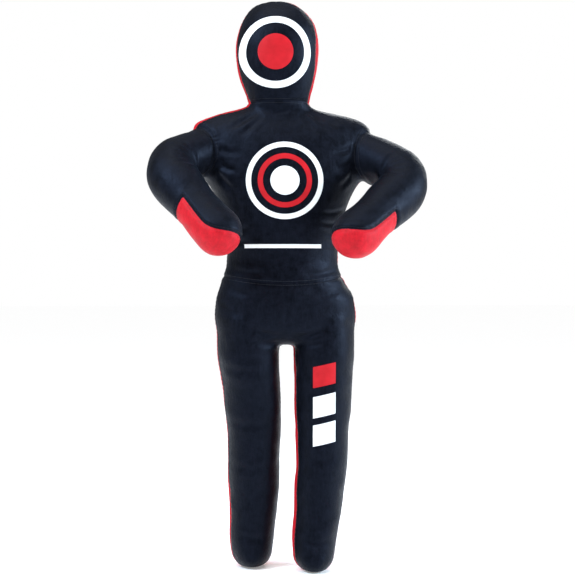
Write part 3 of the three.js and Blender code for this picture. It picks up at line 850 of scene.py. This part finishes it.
# ---------------------------------------------------------------- seams and folds in the skin

LUMP_CELLS = 32


def lumps(places, size, seed):
    """Smooth random values from -1 to 1, the same each run."""
    grid = np.random.default_rng(seed).uniform(-1, 1, (LUMP_CELLS, LUMP_CELLS, LUMP_CELLS))
    spot = places / size
    cell = np.floor(spot).astype(int)
    t = spot - cell
    t = t * t * (3 - 2 * t)
    total = np.zeros(len(places))
    for corner in np.ndindex(2, 2, 2):
        c = np.array(corner)
        weight = np.where(c, t, 1 - t).prod(1)
        index = (cell + c) % LUMP_CELLS
        total += weight * grid[tuple(index.T)]
    return total


tape_low, tape_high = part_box("zip_tape_right")
# The flat bed under the zip reaches this far past its tapes, and fades out over the blend.
ZIP_MARGIN, ZIP_BLEND, ZIP_BED_HALF = 0.006, 0.03, (0.045, 0.022)
ZIP_LOW, ZIP_HIGH = tape_low[2] - ZIP_MARGIN, tape_high[2] + ZIP_MARGIN
ZIP_BED_Y = tape_low[1] - 0.0006

# How far the whole skin swells, how softly its soles are rounded off, and the height and size of lumps.
SWELL, SOLE_SOFT = 0.0008, 0.004
BIG_LUMPS, SMALL_LUMPS = (0.0026, 0.085), (0.0012, 0.035)

# A seam's groove, the swelling on each side of it and the gathers across it, which wander a little.
SEAM_DEPTH, SEAM_HALF = 0.0036, 0.0045
SWELL_HEIGHT, SWELL_PLACE, SWELL_REACH = 0.0012, 0.013, 0.008
PUCKER_STEP, PUCKER_REACH, PUCKER_HEIGHT, PUCKER_WANDER = 0.014, 0.013, 0.0010, 0.04


def seam_dent(distance, along, seed):
    """A sewn groove with small gathers across it. along says where on the seam each point is."""
    reach = bell(distance, PUCKER_REACH)
    wander = lumps(np.stack([along, along * 0.3, distance * 0], 1), PUCKER_WANDER, seed)
    gathers = np.sin(along * (2 * math.pi / PUCKER_STEP) + 2.5 * wander) * (0.6 + 0.4 * wander)
    swell = SWELL_HEIGHT * bell(np.abs(distance) - SWELL_PLACE, SWELL_REACH)
    return swell - SEAM_DEPTH * bell(distance, SEAM_HALF) + PUCKER_HEIGHT * gathers * reach


# How strong each seam's dent is.
SIDE_DENT, NECK_DENT, WAIST_DENT, PALM_DENT = 1.0, 0.55, 0.6, 1.0
ARMHOLE_DENT = {"right": 1.0, "left": 0.6}

# Places where the filling gives way: where, how far round, and how deep.
HOLLOWS = [
    ((0.262, 0.010, 1.214), 0.045, 0.013),
    ((0.283, 0.085, 1.382), 0.026, 0.007),
    ((-0.250, 0.000, 1.240), 0.040, 0.006),
]

FRONT, BACK = -1, 1

# A fold lies on the front or back, through three places. Each row has their x and z and the fold's width,
# all in millimetres, and its depth in tenths of a millimetre.
BODY_FOLDS = {
    FRONT: [
        # lower left of the torso, where it leans over the waist
        (108, 1128, 140, 1122, 190, 1140, 6, 20), (96, 1098, 135, 1088, 186, 1102, 6, 24),
        (110, 1068, 145, 1056, 180, 1066, 6, 22), (120, 1036, 150, 1026, 178, 1034, 6, 20),
        (-180, 1082, -150, 1070, -118, 1078, 9, 26), (-182, 1046, -150, 1032, -124, 1036, 8, 24),
        # beside the waist seam
        (-175, 944, -120, 932, -60, 936, 10, 26), (45, 936, 100, 930, 160, 948, 10, 28),
        (-170, 880, -120, 868, -80, 872, 10, 22), (70, 872, 120, 866, 165, 882, 10, 24),
        # from the neck out over the shoulders
        (50, 1448, 98, 1428, 150, 1396, 8, 38), (62, 1436, 104, 1408, 144, 1366, 8, 34),
        (38, 1440, 66, 1408, 88, 1372, 8, 24), (-80, 1440, -128, 1412, -176, 1386, 8, 28),
        (-70, 1432, -104, 1398, -140, 1362, 8, 22),
        # from the armholes into the chest
        (-222, 1330, -190, 1312, -150, 1306, 9, 30), (-224, 1286, -192, 1262, -160, 1252, 9, 36),
        (-222, 1250, -196, 1218, -172, 1196, 8, 32), (212, 1334, 180, 1316, 142, 1310, 9, 30),
        (214, 1288, 182, 1266, 150, 1258, 9, 34), (212, 1252, 188, 1222, 166, 1204, 8, 30),
        # out of the crotch
        (12, 742, 60, 738, 112, 762, 9, 36), (20, 724, 70, 712, 126, 726, 9, 32),
        (-12, 744, -56, 742, -108, 764, 9, 32), (-22, 724, -68, 714, -118, 722, 9, 28),
        (0, 760, -4, 800, -2, 846, 9, 22),
        # faint ones round the legs
        (-190, 640, -140, 628, -86, 634, 12, 22), (-180, 470, -120, 458, -60, 466, 12, 18),
        (150, 360, 110, 348, 62, 354, 12, 20), (-168, 330, -110, 318, -50, 326, 12, 18),
        (-150, 110, -104, 98, -60, 104, 10, 20), (140, 104, 92, 94, 50, 100, 10, 20),
    ],
    BACK: [
        # under the zip, over the seat, behind the knees, below the neck and beside the armholes
        (-150, 1000, -90, 984, -40, 988, 10, 28), (30, 986, 80, 982, 140, 1002, 10, 28),
        (-160, 950, -100, 940, -50, 946, 10, 26), (40, 946, 100, 940, 150, 952, 10, 26),
        (-20, 742, -80, 730, -150, 752, 10, 36), (20, 742, 80, 730, 150, 752, 10, 36),
        (-30, 712, -80, 700, -130, 708, 10, 28), (34, 712, 80, 700, 136, 708, 10, 28),
        (-160, 420, -110, 408, -60, 414, 10, 26), (60, 414, 110, 406, 160, 418, 10, 26),
        (-160, 388, -110, 376, -58, 384, 10, 22), (62, 386, 110, 374, 162, 386, 10, 22),
        (-90, 1440, -130, 1408, -170, 1380, 9, 28), (60, 1440, 104, 1408, 150, 1380, 9, 28),
        (-220, 1300, -180, 1280, -140, 1276, 9, 30), (206, 1300, 170, 1280, 130, 1276, 9, 30),
        (-214, 1250, -180, 1226, -150, 1216, 9, 28), (200, 1250, 170, 1226, 140, 1216, 9, 28),
    ],
}


# The creases inside an elbow: the direction of each in radians, and its depth.
ELBOW_FOLDS = ((-0.62, 0.0040), (-0.30, 0.0050), (0.02, 0.0056), (0.33, 0.0050), (0.66, 0.0040))
ELBOW_FOLD_WIDTH, ELBOW_FOLD_WANDER = 0.0075, 0.10
ELBOW_FOLD_AREA, ELBOW_FOLD_DEEPEST, ELBOW_FOLD_REACH = 0.17, 0.012, 0.05

# A fold fades in as the skin turns to face it, from the first of these shares to the second.
FOLD_FACING = (0.15, 0.5)


def crease(distance, width, depth):
    """A furrow between two low ridges."""
    t = distance / width
    return depth * (0.55 * np.exp(-((t - 1.9) ** 2)) - np.exp(-t * t))


def bowed(first, middle, last, count=14):
    """Points along a bowed line through three places."""
    t = np.linspace(0, 1, count)
    handle = 2 * middle - (first + last) / 2
    return np.outer((1 - t) ** 2, first) + np.outer(2 * t * (1 - t), handle) + np.outer(t * t, last)


def near_line(places, line):
    """Each point's distance from a line of points, and how far along it the nearest part is."""
    best = np.full(len(places), 1e9)
    where = np.zeros(len(places))
    steps = len(line) - 1
    for i in range(steps):
        a, b = line[i], line[i + 1]
        t = np.clip((places - a) @ (b - a) / ((b - a) @ (b - a)), 0, 1)
        gap = lengths(places - a - t[:, None] * (b - a))
        closer = gap < best
        best = np.where(closer, gap, best)
        where = np.where(closer, (i + t) / steps, where)
    return best, where


def fold_height(places, normals, body):
    """All the body's folds, each fading out towards its ends."""
    total = np.zeros(len(places))
    flat = places[:, [0, 2]]
    rows = [(face, *fold) for face, folds in BODY_FOLDS.items() for fold in folds]
    for face, *places_through, width, depth in rows:
        line = bowed(*np.reshape(places_through, (3, 2)) / 1000)
        width, depth = width / 1000, depth / 10000
        reach = 4 * width
        low, high = line.min(0) - reach, line.max(0) + reach
        near = ((flat > low) & (flat < high)).all(1) & body & (normals[:, 1] * face > FOLD_FACING[0])
        near = np.flatnonzero(near)
        gap, where = near_line(flat[near], line)
        fade = np.sin(np.pi * np.clip(where, 0.02, 0.98)) ** 0.7
        facing = ease(normals[near, 1] * face, *FOLD_FACING)
        total[near] += crease(gap, width, depth) * fade * facing
    return total


def elbow_folds(side, places):
    """Creases that fan out from the inside of the elbow."""
    arm = arms[side]
    across = metres(arm.centre)
    inside = unit(metres(arm.middle) - across)
    total = np.zeros(len(places))
    near = np.flatnonzero(lengths(places - metres(arm.middle)) < ELBOW_FOLD_AREA)
    offset = places[near] - across
    flat = offset - np.outer(offset @ arm.normal, arm.normal)
    turn = np.arctan2(np.cross(np.broadcast_to(inside, flat.shape), flat) @ arm.normal, flat @ inside)
    radius = lengths(flat)
    tuck_in = bell(radius - ELBOW_FOLD_DEEPEST, ELBOW_FOLD_REACH)
    wander = lumps(places[near], 0.05, 11 if side == "right" else 12)
    for angle, depth in ELBOW_FOLDS:
        gap = (turn - angle + ELBOW_FOLD_WANDER * wander) * np.maximum(radius, 0.03)
        total[near] += crease(np.abs(gap), ELBOW_FOLD_WIDTH, depth) * tuck_in
    return total


def shape_skin(places, faces):
    """The stuffing's lumps, the sewn seams and the folds, then the flat bed for the zip."""
    normals = normals_of(places, faces)
    on_arm = {side: arm_field(side, places) > 0 for side in SIDES}
    body = ~(on_arm["right"] | on_arm["left"])
    x, y, z = places.T
    height = np.full(len(places), SWELL)
    (high, wide), (low, narrow) = BIG_LUMPS, SMALL_LUMPS
    height += high * lumps(places, wide, 1) + low * lumps(places, narrow, 2)

    sewn = body.copy()
    for side in SIDES:
        sewn |= on_arm[side] & ~on_forearm(side, places) & (armhole(side, places) < 0)
    centre = body & (normals[:, 1] > 0.3) & (z > WAIST_Z) & (z < NECK_Z)
    zip_fade = 1 - ease(z, ZIP_LOW - ZIP_BLEND, ZIP_LOW) * (1 - ease(z, ZIP_HIGH, ZIP_HIGH + ZIP_BLEND))
    # Where each seam is, how strong, the distance from it, the way along it and its gathers' seed.
    seams = [
        (sewn, SIDE_DENT, side_seam(places), z + 0.4 * x, 3),
        (body, NECK_DENT, z - NECK_Z, 1.4 * x + y, 4),
        (body, WAIST_DENT, waist_seam(places), x + 0.5 * y, 5),
        (centre, zip_fade, x - BACK_X, z, 6),
    ]
    for side in SIDES:
        fore = on_forearm(side, places)
        near = on_arm[side] & ~fore
        seams.append((near, ARMHOLE_DENT[side], armhole(side, places), z + y, 7))
        seams.append((fore, PALM_DENT, palm_field(side, places), x + z - y, 8))
    for where, share, distance, along, seed in seams:
        height += np.where(where, share * seam_dent(distance, along, seed), 0.0)
    for side in SIDES:
        height += np.where(on_arm[side], elbow_folds(side, places), 0.0)
    height += fold_height(places, normals, body)
    for centre, reach, depth in HOLLOWS:
        gap = lengths(places - np.array(centre))
        height -= depth * bell(gap, reach)

    places = places + normals * height[:, None]
    bed = ease(np.abs(x - BACK_X), *ZIP_BED_HALF) * ease(z, ZIP_LOW - ZIP_BLEND, ZIP_LOW)
    bed = bed * (1 - ease(z, ZIP_HIGH, ZIP_HIGH + ZIP_BLEND)) * (normals[:, 1] > 0.3)
    places[:, 1] += bed * (ZIP_BED_Y - places[:, 1])
    low = places[:, 2] < SOLE_SOFT
    places[low, 2] = SOLE_SOFT * np.exp((places[low, 2] - SOLE_SOFT) / SOLE_SOFT)
    return places


# ---------------------------------------------------------------- covers

SEAM_ALLOWANCE = 0.006


def tuck(skin, depth=SEAM_ALLOWANCE):
    """Turns the border of a cover in, as a seam allowance."""
    border = loop_ends(skin.faces)
    rim, index = np.unique(border, return_inverse=True)
    index = index.reshape(-1, 2)
    inner = skin.points[rim].copy()
    inner[:, :3] -= inner[:, 3:6] * depth
    start = len(skin.points)
    a, b = border.T
    c, d = start + index.T
    faces = np.concatenate([skin.faces, corners([b, a, c], [b, c, d])])
    return Skin(np.concatenate([skin.points, inner]), faces)


def contours(skin, values):
    """Ordered lines on a skin where a value at its points passes zero."""
    crossed = crossing(skin, values)
    if crossed is None:
        return []
    _, _, points, index = crossed
    links = {}
    for a, b in index.T.tolist():
        links.setdefault(a, []).append(b)
        links.setdefault(b, []).append(a)
    lines, done = [], set()
    for start in sorted(links, key=lambda key: (len(links[key]), key)):
        if start in done:
            continue
        line, here = [start], start
        done.add(start)
        while True:
            ahead = [key for key in links[here] if key not in done]
            if not ahead:
                break
            here = ahead[0]
            done.add(here)
            line.append(here)
        if len(line) > 3:
            lines.append(points[line])
    return lines


COVER_FILL = 0.9
# A print's edge is turned in by this many times its thickness.
PRINT_THICK, PRINT_TUCK = 0.0005, 1.6

STITCH_STEP, STITCH_LENGTH, STITCH_WIDTH, STITCH_HEIGHT = 0.0048, 0.0038, 0.0011, 0.0008
STITCH_MARGIN, STITCH_LIFT = 0.002, 0.0001
# One stitch along its own length, side and up: two tips and two rings of four points.
STITCH = np.array([
    [-0.5, 0, -0.3],
    [-0.28, 0.5, 0], [-0.28, 0, 0.5], [-0.28, -0.5, 0], [-0.28, 0, -0.5],
    [0.28, 0.5, 0], [0.28, 0, 0.5], [0.28, -0.5, 0], [0.28, 0, -0.5],
    [0.5, 0, -0.3],
])
STITCH_FACES = np.array(
    [[0, 1 + (i + 1) % 4, 1 + i] for i in range(4)]
    + [[1 + i, 1 + (i + 1) % 4, 5 + i] for i in range(4)]
    + [[1 + (i + 1) % 4, 5 + (i + 1) % 4, 5 + i] for i in range(4)]
    + [[9, 5 + i, 5 + (i + 1) % 4] for i in range(4)]
)


def stitch_line(line):
    """Stitches end to end along a line on a skin, as points and triangles."""
    gap = lengths(np.diff(line[:, :3], axis=0))
    run = np.concatenate([[0], np.cumsum(gap)])
    count = int((run[-1] - 2 * STITCH_MARGIN) / STITCH_STEP)
    if count < 2:
        return np.zeros((0, 3)), np.zeros((0, 3), int)
    at = (np.arange(count) + 0.5) * STITCH_STEP + STITCH_MARGIN
    def sample(where):
        return np.stack([np.interp(where, run, line[:, i]) for i in range(6)], 1)
    middle = sample(at)
    way = sample(at + STITCH_LENGTH / 2)[:, :3] - sample(at - STITCH_LENGTH / 2)[:, :3]
    way /= np.maximum(lengths(way), 1e-9)[:, None]
    up = middle[:, 3:6]
    side = np.cross(up, way)
    size = STITCH * [STITCH_LENGTH, STITCH_WIDTH, STITCH_HEIGHT]
    points = (
        middle[:, None, :3]
        + size[None, :, 0, None] * way[:, None]
        + size[None, :, 1, None] * side[:, None]
        + (size[None, :, 2, None] + STITCH_LIFT) * up[:, None]
    )
    faces = STITCH_FACES[None] + (np.arange(count) * len(STITCH))[:, None, None]
    return points.reshape(-1, 3), faces.reshape(-1, 3)


def piece(name, places, faces, finish, slot, moves, normals=None, nodes=(), fill=None):
    """A mesh that stands for some CAD nodes, and rides on one body when given one. A bend between two bodies
    is not used, and the mesh stays where it is.
    """
    made = mesh_object(name, places, faces, normals)
    made.data.materials.append(finish)
    if nodes:
        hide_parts(*nodes)
    if isinstance(moves, str):
        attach(made, moves)
    else:
        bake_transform(made)


def cover(name, skin, colour, nodes, moves, rows):
    """One sewn cover piece, and a row of stitches on it along each line where a field passes zero."""
    slot = colour + "_cover"
    finish, thread = COVER_FINISH[colour]
    stitches = []
    for field in rows:
        stitches += [stitch_line(line) for line in contours(skin, field(skin.places))]
    if sum(len(places) for places, _ in stitches):
        piece(name + "_stitches", *joined(stitches), thread, slot, moves)
    skin = tuck(skin)
    piece(name, skin.places, skin.faces, finish, slot, moves, skin.normals, nodes, COVER_FILL)


def pair(name, skin, front_nodes, back_nodes, moves, rows=()):
    """A section's black front and red back cover, sewn along the side seam. Returns the front's skin."""
    front = part(skin, inverse(side_seam))
    cover(name.format("front"), front, "black", front_nodes, moves, [front_row, *rows])
    cover(name.format("back"), part(skin, side_seam), "red", back_nodes, moves, [back_row, *rows])
    return front


def ink(name, skin, fields, colour, moves):
    """A printed layer on a cover, where all the fields are positive, which moves as the cover does."""
    skin = part(skin, *fields)
    skin.places += skin.normals * PRINT_THICK
    skin = tuck(skin, PRINT_THICK * PRINT_TUCK)
    finish, slot = INK[colour], colour + "_print"
    piece(name + "_print", skin.places, skin.faces, finish, slot, moves, skin.normals, [name])


def part(skin, *fields):
    """What is left of a skin where all these fields are positive."""
    for field in fields:
        if len(skin.faces):
            skin = cut(skin, field(skin.places))[1]
    return skin


def inverse(field):
    return lambda places: -field(places)


def beside(field, distance):
    """A field that passes zero at this distance from where another one does."""
    return lambda places: field(places) - distance


def height_field(level):
    return lambda places: places[:, 2] - level


def of_side(field, side):
    """One side's own field of places."""
    return lambda places: field(side, places)


def across_bend(first, second, place, way, reach):
    """A bend from one body to another, from reach[0] to reach[1] along a way through a place."""
    return first, second, place + way * reach[0], place + way * reach[1]


def level_bend(first, second, heights, x=0.0, y=0.1):
    """A bend from one body to another between two heights."""
    return first, second, *((x, y, z) for z in heights)


def middle_of(node):
    """The x and z of a node's middle, and half its width."""
    low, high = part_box(node)
    return (low[0] + high[0]) / 2, (low[2] + high[2]) / 2, (high[0] - low[0]) / 2


def disc(node, width=None):
    """Fields for a printed disc, or for a ring of this width, of a node's own size and place."""
    x, z, radius = middle_of(node)
    def within(places):
        return radius - np.hypot(places[:, 0] - x, places[:, 2] - z)
    def outside(places):
        return np.hypot(places[:, 0] - x, places[:, 2] - z) - (radius - width)
    return (within, outside) if width else (within,)


def slanted(node, rise=0.0):
    """Fields for a printed bar in a node's own box, whose top and bottom edges rise to the left."""
    low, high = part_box(node)
    def lift(places):
        return rise * (places[:, 0] - low[0]) / (high[0] - low[0])
    return (
        lambda places: places[:, 0] - low[0],
        lambda places: high[0] - places[:, 0],
        lambda places: places[:, 2] - low[2] - lift(places),
        lambda places: high[2] - rise - places[:, 2] + lift(places),
    )


TARGET_RING_WIDTH, CHEST_RING_WIDTH, BAR_RISE = 0.021, 0.016, 0.016

# Rows of stitches run this far from a seam.
ROW = 0.0062

make_camera()
make_stage()

black = suede(
    "black_suede", (0.0004, 0.0004, 0.0006), (0.0042, 0.0047, 0.0080), 0.02, (0.35, 0.6, 1.0), (0.32, 0.64),
    (0.26, 0.34, 0.56),
)
red = suede(
    "red_suede", (0.36, 0.003, 0.008), (0.58, 0.007, 0.018), 0.08, (1.0, 0.5, 0.5), (0.45, 0.7),
    (1.0, 0.8, 0.8),
)
INK = {
    "white": print_layer("white_ink", (0.8, 0.8, 0.8), (0.92, 0.92, 0.92)),
    "red": print_layer("red_ink", (0.42, 0.003, 0.008), (0.54, 0.005, 0.012)),
}
black_thread = thread_finish("black_thread", (0.006, 0.007, 0.010), (0.014, 0.016, 0.022))
red_thread = thread_finish("red_thread", (0.32, 0.003, 0.008), (0.50, 0.008, 0.016))
COVER_FINISH = {"black": (black, black_thread), "red": (red, red_thread)}

places, faces = whole_figure()
places = shape_skin(places, faces)
skin = Skin(np.concatenate([places, normals_of(places, faces)], 1), faces)

front_row, back_row = beside(side_seam, -ROW), beside(side_seam, ROW)
rest = skin
for side in SIDES:
    rest, arm_skin = cut(rest, arm_field(side, rest.places))
    past_elbow, past_armhole, on_palm = (of_side(f, side) for f in (elbow_field, armhole, palm_field))
    upper = part(arm_skin, inverse(past_elbow))
    fore = part(arm_skin, past_elbow)
    bend = across_bend("torso", side + "_upper_arm", shoulder(side), SHOULDER_WAY[side], SHOULDER_BEND)
    pair(side + "_shoulder_{}", part(upper, inverse(past_armhole)), [side + "_shoulder_section"], [], bend,
         [beside(past_armhole, -ROW)])
    cover(side + "_sleeve_upper", part(upper, past_armhole), "black",
          [side + "_upper_sleeve", side + "_upper_arm_filling"], bend, [beside(past_armhole, ROW)])
    middle, way = metres(arms[side].middle), arms[side].middle_way
    bend = across_bend(side + "_upper_arm", side + "_forearm", middle, way, ELBOW_BEND)
    cover(side + "_sleeve_lower", part(fore, inverse(on_palm)), "black",
          [side + "_fore_sleeve", side + "_elbow_section", side + "_forearm_filling"], bend,
          [beside(on_palm, -ROW)])
    cover(side + "_palm", part(fore, on_palm), "red", [side + "_palm_panel"], bend, [beside(on_palm, ROW)])

above_neck, above_hip, above_thigh = (height_field(z) for z in (NECK_Z, HIP_Z, THIGH_Z))
right_of_back = lambda places: BACK_X - places[:, 0]
neck_over, neck_under = beside(above_neck, ROW), beside(above_neck, -ROW)
waist_over, waist_under = beside(waist_seam, ROW), beside(waist_seam, -ROW)

head_bend = level_bend("torso", "head", NECK_BEND)
hood_front = pair(
    "hood_{}_cover", part(rest, above_neck), ["hood_front", "neck_section_front", "head_filling"],
    ["hood_back", "neck_section_back"], head_bend, [neck_over],
)

torso = part(rest, inverse(above_neck), waist_seam)
torso_bend = level_bend("pelvis", "torso", WAIST_BEND)
torso_front, torso_back = part(torso, inverse(side_seam)), part(torso, side_seam)
cover("torso_front_cover", torso_front, "black", ["torso_front", "waist_section_front", "torso_filling"],
      torso_bend, [front_row, waist_over, neck_under])
cover("torso_back_right_cover", part(torso_back, right_of_back), "red",
      ["torso_back_right", "waist_section_back"], torso_bend,
      [back_row, waist_over, neck_under, beside(right_of_back, ROW)])
cover("torso_back_left_cover", part(torso_back, inverse(right_of_back)), "red", ["torso_back_left"],
      torso_bend, [back_row, waist_over, neck_under, beside(right_of_back, -ROW)])
pair("pelvis_{}_cover", part(rest, inverse(waist_seam), above_hip), ["pelvis_front", "pelvis_filling"],
     ["pelvis_back"], "pelvis", [waist_under])

for name, colour, width in (("target_ring", "white", TARGET_RING_WIDTH), ("target_disc", "red", None)):
    ink(name, hood_front, disc(name, width), colour, head_bend)
for name, colour, width in (
    ("chest_outer_ring", "white", CHEST_RING_WIDTH),
    ("chest_inner_ring", "red", CHEST_RING_WIDTH),
    ("chest_dot", "white", None),
):
    ink(name, torso_front, disc(name, width), colour, torso_bend)
ink("chest_bar", torso_front, slanted("chest_bar"), "white", torso_bend)

legs = part(rest, inverse(above_hip))
for side in SIDES:
    leg = part(legs, lambda places: places[:, 0] * SIGN[side])
    thigh_bend = level_bend("pelvis", side + "_thigh", HIP_BEND)
    shin_bend = level_bend(side + "_thigh", side + "_shin", KNEE_BEND)
    thigh_front = pair(
        side + "_thigh_{}_cover", part(leg, above_thigh),
        [side + "_thigh_front", side + "_hip_section", side + "_thigh_filling"], [side + "_thigh_back"],
        thigh_bend,
    )
    shin_front = pair(
        side + "_shin_{}_cover", part(leg, inverse(above_thigh)),
        [side + "_shin_front", side + "_knee_section", side + "_shin_filling"], [side + "_shin_back"],
        shin_bend,
    )
# The left leg's skins and bends are the last ones made.
for name, colour, front, bend in (
    ("leg_bar_top", "red", thigh_front, thigh_bend),
    ("leg_bar_middle", "white", shin_front, shin_bend),
    ("leg_bar_bottom", "white", shin_front, shin_bend),
):
    ink(name, front, slanted(name, BAR_RISE), colour, bend)


# ---------------------------------------------------------------- the zip

TOOTH_STEP, TOOTH_RINGS, TOOTH_SIDES = 0.0022, 5, 8
TOOTH_LENGTH, TOOTH_TALL, TOOTH_DEEP = 0.0031, 0.00062, 0.00125
TOOTH_OVERLAP, TOOTH_LEAN, TOOTH_MARGIN = 0.0008, 0.0003, 0.002
PLACKET_HALF, PLACKET_ROWS, PLACKET_MARGIN = 0.0038, 40, 0.003
# The rows of stitches lie at these shares of a tape's width, from its outer edge.
TAPE_ROWS, TAPE_MARGIN = (0.16, 0.62), 0.002


def repeated(places, faces, heights):
    """One small tube again at each of these heights."""
    steps = np.stack([heights * 0, heights * 0, heights], 1)
    starts = np.arange(len(heights)) * len(places)
    places = places[None] + steps[:, None]
    return places.reshape(-1, 3), (faces[None] + starts[:, None, None]).reshape(-1, 3)


def zip_teeth(side):
    """One row of a spiral zip's teeth, each a rounded loop that reaches past the middle."""
    low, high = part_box("zip_coil_" + side)
    inner = high[0] if side == "right" else low[0]
    outward = SIGN[side]
    shift = 0.0 if side == "right" else TOOTH_STEP / 2
    heights = np.arange(low[2] + TOOTH_MARGIN + shift, high[2] - TOOTH_MARGIN, TOOTH_STEP)
    angle = np.arange(TOOTH_SIDES) / TOOTH_SIDES * 2 * math.pi
    rings = []
    for t in np.linspace(0.0, 1.0, TOOTH_RINGS):
        girth = 0.35 + 0.65 * math.sin(math.pi * min(max(t, 0.12), 0.88)) ** 0.5
        x = np.full(TOOTH_SIDES, -TOOTH_OVERLAP * outward + outward * TOOTH_LENGTH * t)
        y = np.sin(angle) * TOOTH_DEEP * girth
        z = np.cos(angle) * TOOTH_TALL * girth + TOOTH_LEAN * outward * t
        rings.append(np.stack([x, y, z], 1))
    tooth, triangles = tube(rings)
    if outward < 0:
        triangles = triangles[:, ::-1]
    middle = np.array([inner, (low[1] + high[1]) / 2, 0.0])
    teeth = repeated(tooth + middle, triangles, heights)
    piece("zip_teeth_" + side, *teeth, nylon_finish, "zip_coil", "torso", nodes=["zip_coil_" + side])


def zip_placket():
    """A strip of woven tape behind the teeth, so that the cover doesn't show between them."""
    low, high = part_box("zip_coil_right")
    z = np.linspace(low[2] - PLACKET_MARGIN, high[2] + PLACKET_MARGIN, PLACKET_ROWS)
    x = np.array([-1.0, -0.9, -0.3, 0.3, 0.9, 1.0]) * PLACKET_HALF + BACK_X
    depth = np.array([0.0, 0.0007, 0.0009, 0.0009, 0.0007, 0.0]) + ZIP_BED_Y - 0.0001
    grid = np.stack([np.tile(x, PLACKET_ROWS), np.tile(depth, PLACKET_ROWS), np.repeat(z, len(x))], 1)
    cells = np.arange(PLACKET_ROWS - 1)[:, None] * len(x) + np.arange(len(x) - 1)[None]
    cells = cells.ravel()
    up = cells + len(x)
    strip = corners([cells, up, cells + 1], [up, up + 1, cells + 1])
    piece("zip_placket", grid, strip, tape_finish, "zip_tape", "torso")


def tape_stitches(side):
    """Two rows of stitches that hold a tape down, near its outer edge and beside the teeth."""
    low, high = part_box("zip_tape_" + side)
    outer, inner = (low[0], high[0]) if side == "right" else (high[0], low[0])
    z = np.linspace(low[2] + TAPE_MARGIN, high[2] - TAPE_MARGIN, 60)
    rows = []
    for share in TAPE_ROWS:
        x = outer + (inner - outer) * share
        rows.append(stitch_line(np.stack([z * 0 + x, z * 0 + high[1], z, z * 0, z * 0 + 1.0, z * 0], 1)))
    piece("zip_tape_stitches_" + side, *joined(rows), black_thread, "zip_tape", "torso")


nylon_finish, tape_finish, metal = nylon(), woven(), nickel()
for name, finish in (
    ("zip_tape_right", tape_finish), ("zip_tape_left", tape_finish),
    ("zip_slider", metal), ("zip_pull", metal), ("zip_bottom_stop", metal),
):
    for material_slot in frame["nodes"][name].material_slots:
        material_slot.material = finish
zip_placket()
for side in SIDES:
    zip_teeth(side)
    tape_stitches(side)
